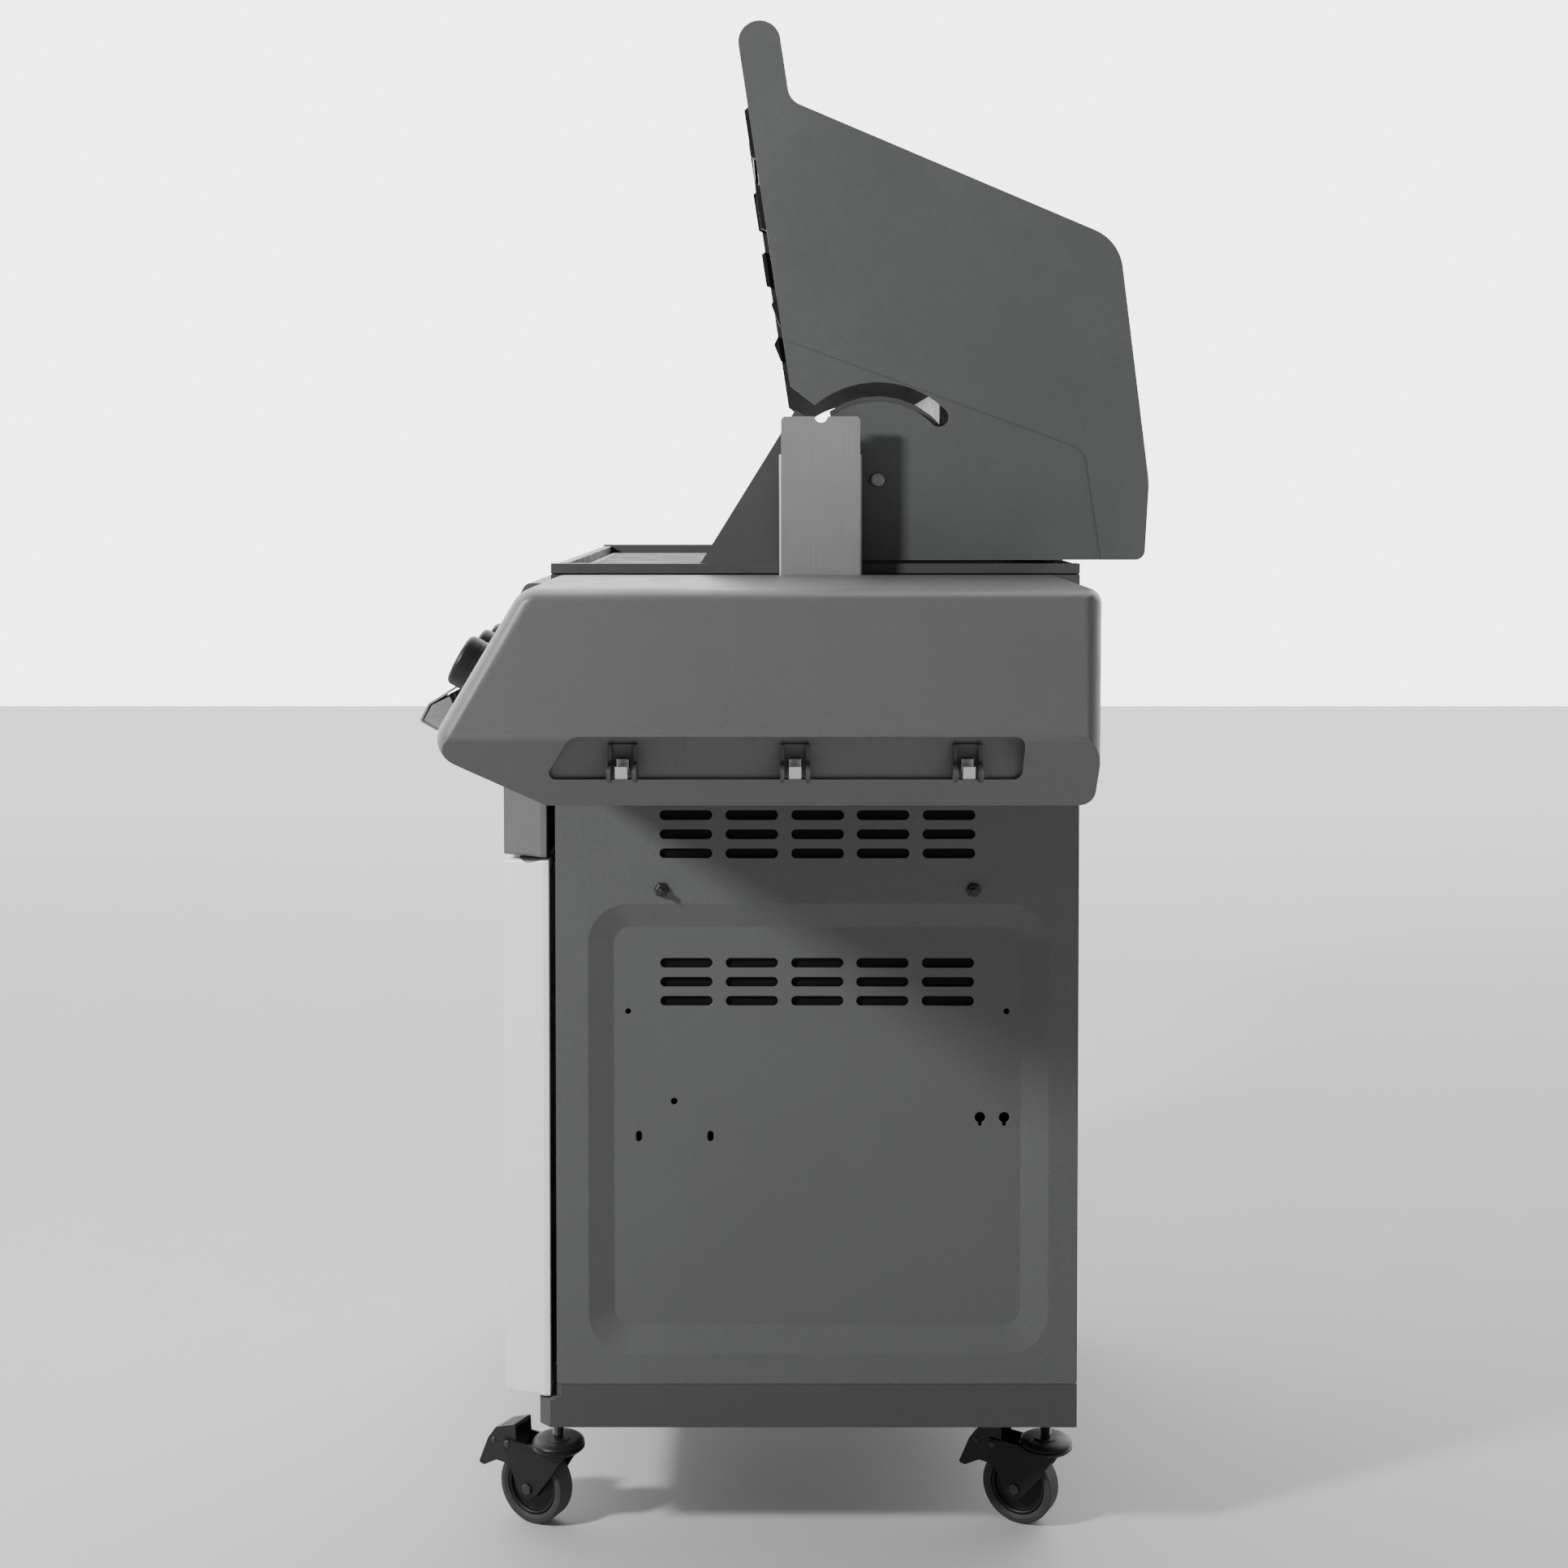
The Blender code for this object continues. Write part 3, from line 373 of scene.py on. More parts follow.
# ---- materials
class Nodes:
    """A small builder for a material's node tree."""

    def __init__(self, name):
        self.material = bpy.data.materials.new(name)
        self.material.use_nodes = True
        self.tree = self.material.node_tree
        self.shader = self.tree.nodes["Principled BSDF"]
        self.coords = self.tree.nodes.new("ShaderNodeTexCoord").outputs["Object"]

    def link(self, source, target):
        self.tree.links.new(source, target)

    def stretched(self, scale):
        node = self.tree.nodes.new("ShaderNodeMapping")
        node.inputs["Scale"].default_value = scale
        self.link(self.coords, node.inputs["Vector"])
        return node.outputs["Vector"]

    def noise(self, scale, detail=2.0, rough=0.5, vector=None):
        node = self.tree.nodes.new("ShaderNodeTexNoise")
        node.inputs["Scale"].default_value = scale
        node.inputs["Detail"].default_value = detail
        node.inputs["Roughness"].default_value = rough
        self.link(vector or self.coords, node.inputs["Vector"])
        return node.outputs["Fac"]

    def cells(self, scale):
        node = self.tree.nodes.new("ShaderNodeTexVoronoi")
        node.inputs["Scale"].default_value = scale
        self.link(self.coords, node.inputs["Vector"])
        return node.outputs["Distance"]

    def spread(self, value, low, high, to_low, to_high):
        node = self.tree.nodes.new("ShaderNodeMapRange")
        for socket, number in zip(("From Min", "From Max", "To Min", "To Max"), (low, high, to_low, to_high)):
            node.inputs[socket].default_value = number
        self.link(value, node.inputs["Value"])
        return node.outputs["Result"]

    def mix(self, factor, first, second):
        node = self.tree.nodes.new("ShaderNodeMix")
        node.data_type = "RGBA"
        for socket, value in ((node.inputs[6], first), (node.inputs[7], second)):
            if isinstance(value, tuple):
                socket.default_value = (*value, 1)
            else:
                self.link(value, socket)
        self.link(factor, node.inputs[0])
        return node.outputs[2]

    def edge(self, low=0.51, high=0.58):
        node = self.tree.nodes.new("ShaderNodeNewGeometry")
        return self.spread(node.outputs["Pointiness"], low, high, 0.0, 1.0)

    def bump(self, height, strength, distance, before=None):
        node = self.tree.nodes.new("ShaderNodeBump")
        node.inputs["Strength"].default_value = strength
        node.inputs["Distance"].default_value = distance
        self.link(height, node.inputs["Height"])
        if before is not None:
            self.link(before, node.inputs["Normal"])
        return node.outputs["Normal"]

    def done(self, colour, roughness, normal, **constants):
        self.link(colour, self.shader.inputs["Base Color"])
        self.link(roughness, self.shader.inputs["Roughness"])
        if normal is not None:
            self.link(normal, self.shader.inputs["Normal"])
        for socket, value in constants.items():
            self.shader.inputs[socket.replace("_", " ")].default_value = value
        return self.material


def shade(colour, factor):
    return tuple(min(1.0, part * factor) for part in colour)


def coated(name, colour, rough, grain=900.0, depth=0.00012, mottle=0.06, **constants):
    """Powder coat or paint: fine grain over slow mottling."""
    make = Nodes(name)
    slow = make.spread(make.noise(5.0, 4.0), 0.3, 0.7, 0.0, 1.0)
    tone = make.mix(slow, shade(colour, 1 - mottle), shade(colour, 1 + mottle))
    fine = make.spread(make.noise(grain * 0.5, 2.0), 0.35, 0.65, 0.0, 1.0)
    tone = make.mix(fine, tone, make.mix(fine, tone, shade(colour, 1.07)))
    roughness = make.spread(make.noise(28.0, 5.0), 0.3, 0.7, rough - 0.05, rough + 0.06)
    normal = make.bump(make.noise(grain, 2.0), 0.35, depth)
    normal = make.bump(make.noise(14.0, 2.0), 0.15, 0.0008, normal)
    return make.done(tone, roughness, normal, **constants)


def casting(name, colour, rough, **constants):
    """Painted or bare casting: sandy pits under the finish."""
    make = Nodes(name)
    slow = make.spread(make.noise(7.0, 5.0), 0.3, 0.7, 0.0, 1.0)
    tone = make.mix(slow, shade(colour, 0.92), shade(colour, 1.07))
    pits = make.spread(make.cells(700.0), 0.0, 0.6, 0.0, 1.0)
    tone = make.mix(pits, shade(colour, 0.85), tone)
    roughness = make.spread(make.noise(60.0, 4.0), 0.3, 0.7, rough - 0.06, rough + 0.08)
    normal = make.bump(pits, 0.25, 0.0003)
    normal = make.bump(make.noise(420.0, 4.0), 0.4, 0.0002, normal)
    return make.done(tone, roughness, normal, **constants)


def brushed(name, colour, rough, along, **constants):
    """Metal with fine lines along one axis and faint smears."""
    make = Nodes(name)
    fine = [900.0, 900.0, 900.0]
    fine["XYZ".index(along)] = 9.0
    lines = make.noise(1.0, 3.0, 0.6, make.stretched(fine))
    tone = make.mix(make.spread(lines, 0.3, 0.7, 0.0, 1.0), shade(colour, 0.9), shade(colour, 1.05))
    smear = make.spread(make.noise(9.0, 5.0), 0.35, 0.75, 0.0, 1.0)
    tone = make.mix(smear, tone, make.mix(smear, tone, shade(colour, 0.93)))
    roughness = make.spread(make.noise(11.0, 5.0), 0.3, 0.7, rough - 0.05, rough + 0.08)
    return make.done(tone, roughness, make.bump(lines, 0.12, 0.00005), **constants)


def sooty(name, colour, rust, rough, **constants):
    """Seasoned iron or used enamel: grease, soot and a little brown."""
    make = Nodes(name)
    patch = make.spread(make.noise(18.0, 6.0, 0.65), 0.48, 0.72, 0.0, 1.0)
    tone = make.mix(patch, colour, rust)
    tone = make.mix(make.edge(0.51, 0.6), tone, shade(colour, 1.8))
    roughness = make.spread(make.noise(25.0, 5.0), 0.3, 0.7, rough - 0.12, rough + 0.15)
    normal = make.bump(make.noise(260.0, 5.0), 0.45, 0.0004)
    return make.done(tone, roughness, normal, **constants)


def moulded(name, colour, rough, grain=650.0, **constants):
    """Moulded plastic or rubber: leathery micro texture, dust and scuffs."""
    make = Nodes(name)
    scuff = make.spread(make.noise(45.0, 6.0, 0.7), 0.45, 0.75, 0.0, 1.0)
    tone = make.mix(scuff, colour, shade(colour, 1.35))
    tone = make.mix(make.edge(), tone, shade(colour, 1.9))
    roughness = make.spread(make.noise(35.0, 5.0), 0.3, 0.7, rough - 0.06, rough + 0.08)
    normal = make.bump(make.cells(grain), 0.25, 0.00015)
    return make.done(tone, roughness, normal, **constants)


CHARCOAL = coated("charcoal_powder", (0.088, 0.090, 0.090), 0.46, mottle=0.05, Specular_IOR_Level=0.32)
BASE_COAT = coated("base_powder", (0.056, 0.057, 0.057), 0.46, mottle=0.05, Specular_IOR_Level=0.30)
TABLE_COAT = coated("table_powder", (0.108, 0.108, 0.108), 0.42, mottle=0.04, Specular_IOR_Level=0.32)
LID_COAT = coated("lid_powder", (0.082, 0.087, 0.086), 0.45, mottle=0.06, Specular_IOR_Level=0.35)
CAST = casting("cap_casting", (0.094, 0.099, 0.098), 0.46, Specular_IOR_Level=0.32)
CHEEK = casting("cheek_casting", (0.072, 0.074, 0.073), 0.55, Specular_IOR_Level=0.30)
FASCIA = coated("fascia_powder", (0.125, 0.125, 0.125), 0.42, mottle=0.03, Specular_IOR_Level=0.30)
DOOR = coated("door_paint", (0.860, 0.860, 0.860), 0.34, grain=1400, depth=0.00005, mottle=0.02)
SHINY = brushed("stainless_brushed", (0.52, 0.52, 0.52), 0.34, "Z", Metallic=0.75)
SHINY_X = brushed("stainless_brushed_across", (0.55, 0.55, 0.55), 0.30, "X", Metallic=1.0)
ENAMEL = sooty("firebox_enamel", (0.020, 0.020, 0.021), (0.045, 0.034, 0.026), 0.42)
IRON = sooty("grate_iron", (0.170, 0.170, 0.168), (0.120, 0.095, 0.075), 0.50, Metallic=0.25)
BRASS = brushed("valve_brass", (0.55, 0.42, 0.20), 0.34, "Z", Metallic=1.0)
FOIL = brushed("drip_foil", (0.66, 0.66, 0.67), 0.30, "X", Metallic=1.0)
BLACK = moulded("black_plastic", (0.010, 0.010, 0.010), 0.44, Specular_IOR_Level=0.28)
HOOK = moulded("hook_plastic", (0.040, 0.040, 0.040), 0.44, Specular_IOR_Level=0.30)
CASTER = moulded("caster_plastic", (0.008, 0.008, 0.008), 0.46, Specular_IOR_Level=0.25)
GREY_PLASTIC = moulded("tray_grip_plastic", (0.135, 0.137, 0.140), 0.46)
TYRE = moulded("tyre_rubber", (0.032, 0.032, 0.033), 0.62, grain=420.0, Specular_IOR_Level=0.25)
SCREW = brushed("screw_zinc", (0.34, 0.34, 0.34), 0.38, "Y", Metallic=0.9)
BLACK_SCREW = coated("screw_black", (0.016, 0.016, 0.016), 0.40, grain=1200)

CAD_FINISH = {
    "base_frame": BASE_COAT, "rear_panel": CHARCOAL, "front_fascia": FASCIA,
    "door_right": DOOR, "door_left": DOOR, "door_handle_right": SHINY, "door_handle_left": SHINY,
    "cookbox": ENAMEL, "cookbox_end_right": CHEEK, "cookbox_end_left": CHEEK,
    "spit_bracket_right": SHINY, "spit_bracket_left": SHINY,
    "lid_hinge_pin_right": SCREW, "lid_hinge_pin_left": SCREW,
    "cooking_grate_right": IRON, "cooking_grate_left": IRON, "warming_rack": SHINY_X,
    "lid_shell": LID_COAT, "lid_liner": ENAMEL, "lid_handle": SHINY_X, "lid_thermometer": SHINY_X,
    "control_panel": CHARCOAL, "gas_manifold": BRASS, "grease_tray": ENAMEL, "tray_handle": GREY_PLASTIC,
    "drip_pan": FOIL, "side_panel_right": CHARCOAL, "side_panel_left": CHARCOAL,
    "side_table_right": TABLE_COAT, "side_table_left": TABLE_COAT,
    "lid_cap_right": CAST, "lid_cap_left": CAST,
}
for number in (1, 2, 3):
    CAD_FINISH["burner_%d" % number] = SHINY_X
    CAD_FINISH["heat_tent_%d" % number] = ENAMEL
    CAD_FINISH["valve_%d" % number] = BRASS
    CAD_FINISH["valve_stem_%d" % number] = SCREW
    CAD_FINISH["knob_%d" % number] = BLACK
for place in CASTERS:
    CAD_FINISH["caster_fork_" + place] = CASTER
    CAD_FINISH["caster_wheel_" + place] = TYRE
    CAD_FINISH["brake_pedal_" + place] = CASTER
DIAL = coated("gauge_dial_paint", (0.70, 0.70, 0.68), 0.40, grain=1500, depth=0.00002, mottle=0.02)
NEEDLE = coated("gauge_needle_paint", (0.45, 0.03, 0.02), 0.40, grain=1500, depth=0.00002)
PAINT_WHITE = coated("pointer_paint", (0.72, 0.72, 0.70), 0.45, grain=1500, depth=0.00003)


def floor_paint():
    """A matt pale floor, painted lighter away behind the grill: painted light that fades it into the bright
    backdrop.
    """
    make = Nodes("studio_floor_matt")
    split = make.tree.nodes.new("ShaderNodeSeparateXYZ")
    make.link(make.coords, split.inputs["Vector"])
    # painted light: the floor colour rises from 0.42 near the grill to 0.90 far behind it
    painted_backdrop_light = make.spread(split.outputs["X"], -5.0, 0.6, 1.0, 0.0)
    tone = make.mix(painted_backdrop_light, (0.42, 0.42, 0.42), (0.90, 0.90, 0.90))
    return make.done(tone, make.spread(make.noise(9.0, 3.0), 0.3, 0.7, 0.78, 0.86),
                     make.bump(make.noise(60.0, 2.0), 0.2, 0.0001), Specular_IOR_Level=0.2)


FLOOR = floor_paint()
# Near-black coat for the sheets behind the louvres: painted shade standing for the dark inside of the cabinet
LOUVRE_PAINTED_SHADE = coated("louvre_painted_shade", (0.006, 0.006, 0.006), 0.80, Specular_IOR_Level=0.1)
STAND = brushed("bracket_stainless", (0.40, 0.40, 0.40), 0.42, "Z", Metallic=0.6)


# ---- carried-over nodes
REPLACED = set()


def soften_cad():
    """Materials and softly rounded edges for the CAD nodes that stay in view."""
    wide = {"cookbox_end_right": 0.0012, "cookbox_end_left": 0.0012, "base_frame": 0.0015,
            "front_fascia": 0.0014, "door_right": 0.0014, "door_left": 0.0014, "tray_handle": 0.0020,
            "cooking_grate_right": 0.0018, "cooking_grate_left": 0.0018, "warming_rack": 0.0010,
            "control_panel": 0.0012, "spit_bracket_right": 0.0005, "spit_bracket_left": 0.0005}
    for name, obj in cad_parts.items():
        surface = CAD_FINISH[name]
        for index in range(len(obj.data.materials)):
            obj.data.materials[index] = surface
        if not obj.data.materials:
            obj.data.materials.append(surface)
        if name in REPLACED:
            continue
        weld = obj.modifiers.new("weld", "WELD")
        weld.merge_threshold = 0.00002
        soft = obj.modifiers.new("edges", "BEVEL")
        soft.width = wide.get(name, 0.0006)
        soft.segments = 3
        soft.limit_method = "ANGLE"
        soft.angle_limit = math.radians(35)
        soft.use_clamp_overlap = True
        even = obj.modifiers.new("even", "WEIGHTED_NORMAL")
        even.weight = 100
        even.keep_sharp = True


def stands_for(*names):
    REPLACED.update(names)
    return names


# ---- screws
def screw_head(place, radius=0.0055, height=0.0030, sides=32):
    """A domed head with a cross recess, its axis along the local Z of place."""
    dome = [(0, height)] + [(radius * math.sin(math.radians(step)),
                             height * math.cos(math.radians(step)) + 0.0004)
                            for step in range(20, 90, 10)] + [(radius, 0.0), (0, 0.0)]
    head = turned("head", dome, None, sides)
    arm = radius * 0.55
    slots = [box("a", (-arm, -0.0006, height * 0.5), (arm, 0.0006, height * 2)),
             box("b", (-0.0006, -arm, height * 0.5), (0.0006, arm, height * 2))]
    for slot in slots:
        cut(head, slot)
    return transformed(head, place)


def toward_x(sign, x, y, z):
    """Place for a piece whose axis points out along X."""
    return Matrix.Translation((x, y, z)) @ Matrix.Rotation(sign * math.pi / 2, 4, "Y")


def screws(name, body, surface, places, slot="stainless", **shape):
    piece(joined(name, [screw_head(place, **shape) for place in places]), body, surface, slot, width=0)


# ---- lid
def lid_section():
    return [(-0.4000, -0.0310, 0.020), (-0.2065, 0.2835, 0.048), (0.0450, 0.2770, 0.100),
            (0.1235, 0.2605, 0.010)]


def cap_outline():
    nose = arc((HANDLE_Y, HANDLE_Z), 0.0219, 270, 90, 20)
    middle_r = (SLOT_OUTER + SLOT_INNER) / 2
    closed_deg = 127.0
    end_centre = arc((0, 0), middle_r, closed_deg, closed_deg, 1)[0]
    lobe_deg = 180 + math.degrees(math.asin(-LID_RIM / SLOT_INNER))
    corner = arc((0, 0), LID_SWEEP_R, -22.8, -math.degrees(math.asin(-LID_RIM / LID_SWEEP_R)), 14)
    crown = rounded([(HANDLE_Y, -0.0310, 0), *lid_section(), (*corner[0], 0)], closed=False, steps=14)
    slot = arc((0, 0), SLOT_OUTER, 211.3, closed_deg, 30)
    end = arc(end_centre, middle_r - SLOT_INNER, closed_deg, closed_deg - 180, 16)[1:-1]
    lobe = arc((0, 0), SLOT_INNER, closed_deg, lobe_deg, 36)
    return nose[:-1] + crown + corner[1:] + lobe[::-1] + end[::-1] + slot[::-1] + [(-0.1098, LID_RIM)]


def build_lid():
    hole = circle(0, 0, 0.0043, 24)
    for side, sign in SIDES.items():
        cap = slab("lid_end_cap_" + side, cap_outline(), "X", sign * CAP_IN, sign * CAP_OUT, [hole])
        field = rounded([(-0.1795, -0.100, 0), (-0.0020, 0.2222, 0.025), (0.150, 0.2222, 0),
                         (0.150, -0.100, 0)], steps=12)
        spread = [(inset(field, -d), sign * x) for d, x in ((0, CAP_OUT - 0.0024), (0.0008, CAP_OUT - 0.0021),
                                                            (0.0052, CAP_OUT - 0.0003),
                                                            (0.0062, CAP_OUT + 0.0001),
                                                            (0.0062, CAP_OUT + 0.0100))]
        cut(cap, loft("field", spread, "X"))
        transformed(cap, LID_OPEN)
        piece(cap, "lid", CAST, "cast_aluminium", 0.0022, 4, crease=3,
              replaces=stands_for("lid_cap_" + side))
        cap.data.materials.append(ENAMEL)
        for face in cap.data.polygons:
            if abs(face.center.x) < CAP_IN + GAP / 2:
                face.material_index = 1
        pads = []
        for y0, y1, low in ((-0.4006, -0.3466, -0.0788), (-0.3201, -0.2720, -0.0798)):
            side_face = rounded([(y0, -0.0746, 0.0), (y0 + 0.003, low, 0.0015), (y1 - 0.003, low, 0.0015),
                                 (y1, -0.0746, 0.0)], steps=5)
            pads.append(slab("pad", side_face, "X", sign * BUMPER_IN, sign * BUMPER_OUT))
        wedge = rounded([(-0.2060, -0.0746, 0), (-0.1960, -0.0815, 0.003), (-0.1726, -0.0760, 0.001),
                         (-0.1726, -0.0746, 0)], steps=5)
        pads.append(slab("pad", wedge, "X", sign * BUMPER_IN, sign * BUMPER_OUT))
        transformed(joined("lid_bumpers_" + side, pads), LID_OPEN)
        bumpers = bpy.data.objects["lid_bumpers_" + side]
        piece(bumpers, "lid", CASTER, "caster_tyre", 0.0003)
        collars = []
        for x in (0.3235, 0.300):
            spin = Matrix.Translation((sign * x, HANDLE_Y, HANDLE_Z)) @ Matrix.Rotation(-sign * math.pi / 2,
                                                                                        4, "Y")
            collars.append(turned("collar", [(0.0152, 0.0), (0.0174, 0.0), (0.0180, 0.0010), (0.0180, 0.0075),
                                             (0.0168, 0.0090), (0.0152, 0.0092)], spin, 48, ring=True))
        grip = joined("lid_handle_collars_" + side, collars)
        transformed(grip, LID_OPEN)
        piece(grip, "lid", BLACK, "knob_plastic", 0.0002)
    build_gauge()


def build_gauge():
    """Round gauge: bezel, pale dial with ticks, needle and hub."""
    slope = math.radians(58.4)
    out = Vector((-math.sin(slope), math.cos(slope)))
    seat = Vector((-0.3170, 0.1040)) + out * 0.0003
    place = LID_OPEN @ Matrix.Translation((0, *seat)) @ Matrix.Rotation(slope, 4, "X")
    rim = [(0.0300, 0.0085), (0.0310, 0.0118), (0.0325, 0.0120), (0.0345, 0.0112), (0.0358, 0.0092),
           (0.0360, 0.0060), (0.0360, 0.0010), (0.0350, 0.0004), (0.0050, 0.0004), (0.0050, -0.0385),
           (0.0040, -0.0400), (0, -0.0400), (0, -0.0399)]
    bezel = turned("lid_gauge_bezel", rim, place, 72)
    bm = bmesh.new()
    bm.from_mesh(bezel.data)
    bmesh.ops.holes_fill(bm, edges=bm.edges, sides=0)
    bm.to_mesh(bezel.data)
    bm.free()
    piece(bezel, "lid", SHINY_X, "stainless", 0.0002, replaces=stands_for("lid_thermometer"))
    dial = turned("lid_gauge_dial", [(0, 0.0094), (0.0285, 0.0094), (0.0298, 0.0090), (0.0298, 0.0080),
                                     (0, 0.0080)],
                  place, 72)
    piece(dial, "lid", DIAL, "stainless", 0)
    ticks = []
    for step in range(31):
        angle = math.radians(225 - 9 * step)
        long = step % 5 == 0
        bar = box("tick", (0.0205 if long else 0.0232, -0.0006 if long else -0.0003, 0.0093),
                  (0.0262, 0.0006 if long else 0.0003, 0.0097))
        ticks.append(transformed(bar, Matrix.Rotation(angle, 4, "Z")))
    marks = transformed(joined("lid_gauge_ticks", ticks), place)
    piece(marks, "lid", BLACK_SCREW, "knob_plastic", 0)
    needle = slab("lid_gauge_needle", [(-0.0070, -0.0013), (0.0205, -0.0004), (0.0205, 0.0004),
                                       (-0.0070, 0.0013)],
                  "Z", 0.0099, 0.0104)
    transformed(needle, place @ Matrix.Rotation(math.radians(222), 4, "Z"))
    piece(needle, "lid", NEEDLE, "knob_plastic", 0)
    hub = turned("lid_gauge_hub", [(0, 0.0116), (0.0018, 0.0114), (0.0030, 0.0106), (0.0032, 0.0094),
                                   (0, 0.0094)],
                 place, 32)
    piece(hub, "lid", SCREW, "stainless", 0)


# ---- side tables
def table_section(wall, draw=0.0):
    corners = [(-0.196, TABLE_BOTTOM), (0.308, TABLE_BOTTOM), (0.309, TABLE_TOP), (-0.213, TABLE_TOP),
               (-0.300, 0.884)]
    radii = (0.014, 0.014, 0.014, 0.024, 0.026)
    drawn = inset(corners, wall + draw)
    lift = (0, 0, draw * 0.45, draw * 0.45, 0)
    return rounded([(y, z + up, max(radius - wall - draw, 0.002))
                    for (y, z), up, radius in zip(drawn, lift, radii)], steps=10)


def table_solid(name, sign, wall):
    levels = [(table_section(wall), TABLE_IN - wall)]
    for step in range(0, 91, 10):
        back = 0.026 * (1 - math.sin(math.radians(step)))
        draw = 0.020 * (1 - math.cos(math.radians(step)))
        levels.append((table_section(wall, draw), TABLE_OUT - wall - back))
    solid = loft(name, [(loop, sign * x) for loop, x in levels], "X")
    run = (TABLE_OUT - TABLE_FOOT_X) / (BAND_TOP - TABLE_BOTTOM)
    shift = wall * math.hypot(1, run)
    low, high = TABLE_BOTTOM - 0.02, BAND_TOP + 0.02
    band = [(TABLE_OUT + 0.1, low), (TABLE_OUT + 0.1, 0.975), (TABLE_OUT - shift + 0.0009, 0.975),
            *rounded([(TABLE_OUT - shift + 0.0009, 0.975, 0), (TABLE_OUT - shift - 0.0008, BAND_TOP, 0.016),
                      (TABLE_FOOT_X - shift - 0.02 * run, low, 0)], closed=False, steps=8)[1:]]
    return cut(solid, slab("wedge", [(sign * x, z) for x, z in band], "Y", -0.4, 0.4))


def build_table(side, sign):
    front, rear, low, high = -0.195, 0.239, 0.855, 0.898
    back_low, back_high = 0.6000, 0.6100
    table = table_solid("side_table_shell_" + side, sign, 0)
    hollow = table_solid("hollow", sign, TABLE_WALL)
    cut(hollow, box("wall", (sign * (back_low - TABLE_WALL), front - TABLE_WALL, low - TABLE_WALL),
                    (sign * (TABLE_OUT + 0.02), rear + TABLE_WALL, high + TABLE_WALL)))
    cut(table, hollow)
    niche = slab("niche", rounded([(front, low, 0.006), (rear, low, 0.008), (rear, high, 0.010),
                                   (front + 0.027, high, 0.016)], steps=10),
                 "X", sign * (back_low - 0.002), sign * (TABLE_OUT + 0.02))
    behind = [(back_low - 0.02, low - 0.01), (back_low, low - 0.01), (back_low, low), (back_high, high),
              (back_high, high + 0.01), (back_low - 0.02, high + 0.01)]
    cut(niche, slab("behind", [(sign * x, z) for x, z in behind], "Y", front - 0.02, rear + 0.02))
    cut(table, niche)
    bars = []
    for y in (-0.130, 0.200):
        bars.append(box("bar", (sign * (CHEEK_OUT + GAP), y - 0.030, 0.8285),
                        (sign * (TABLE_IN + 0.010), y + 0.030, 0.8395)))
    for bar in bars:
        unite(table, bar)
    piece(table, "root", TABLE_COAT, "charcoal_paint", 0.0010, 3, angle=40,
          replaces=stands_for("side_table_" + side))
    plate_side = [(0.6007, 0.8560), (0.6030, 0.8560), (0.6107, 0.8880), (0.6081, 0.8880)]
    rib_side = [(0.6095, 0.8885, 0.001), (0.6015, 0.8570, 0.001), (0.6120, 0.8530, 0.003),
                (0.6290, 0.8580, 0.003), (0.6305, 0.8690, 0.002), (0.6230, 0.8655, 0.003),
                (0.6130, 0.8720, 0.004), (0.6135, 0.8885, 0.001)]
    tab_side = [(0.6110, 0.8750, 0), (0.6060, 0.8592, 0.003), (0.6285, 0.8582, 0.003), (0.6312, 0.8700, 0)]
    for number, y in enumerate(HOOK_PLACES, 1):
        parts = [slab("plate", [(sign * x, z) for x, z in plate_side], "Y", y - 0.0130, y + 0.0130)]
        for rib_y in (y - 0.0115, y + 0.0115):
            rib = rounded([(sign * x, z, radius) for x, z, radius in rib_side], steps=6)
            parts.append(slab("rib", rib, "Y", rib_y - 0.0018, rib_y + 0.0018))
        piece(joined("tool_hook_%s_%d" % (side, number), parts), "root", HOOK, "knob_plastic", 0.0004)
        path = rounded([(sign * x, z, radius) for x, z, radius in tab_side], closed=False, steps=6)
        piece(sheet("tool_tab_%s_%d" % (side, number), path, "Y", y - 0.0055, y + 0.0055, 0.0014, sign),
              "root", SHINY, "stainless", 0.0003)
    bolts = []
    for y in (-0.150, -0.110, 0.180, 0.220):
        bolts.append(Matrix.Translation((sign * 0.344, y, 0.8395)))
    screws("table_bolts_" + side, "root", SCREW, bolts, radius=0.0050, height=0.0032)


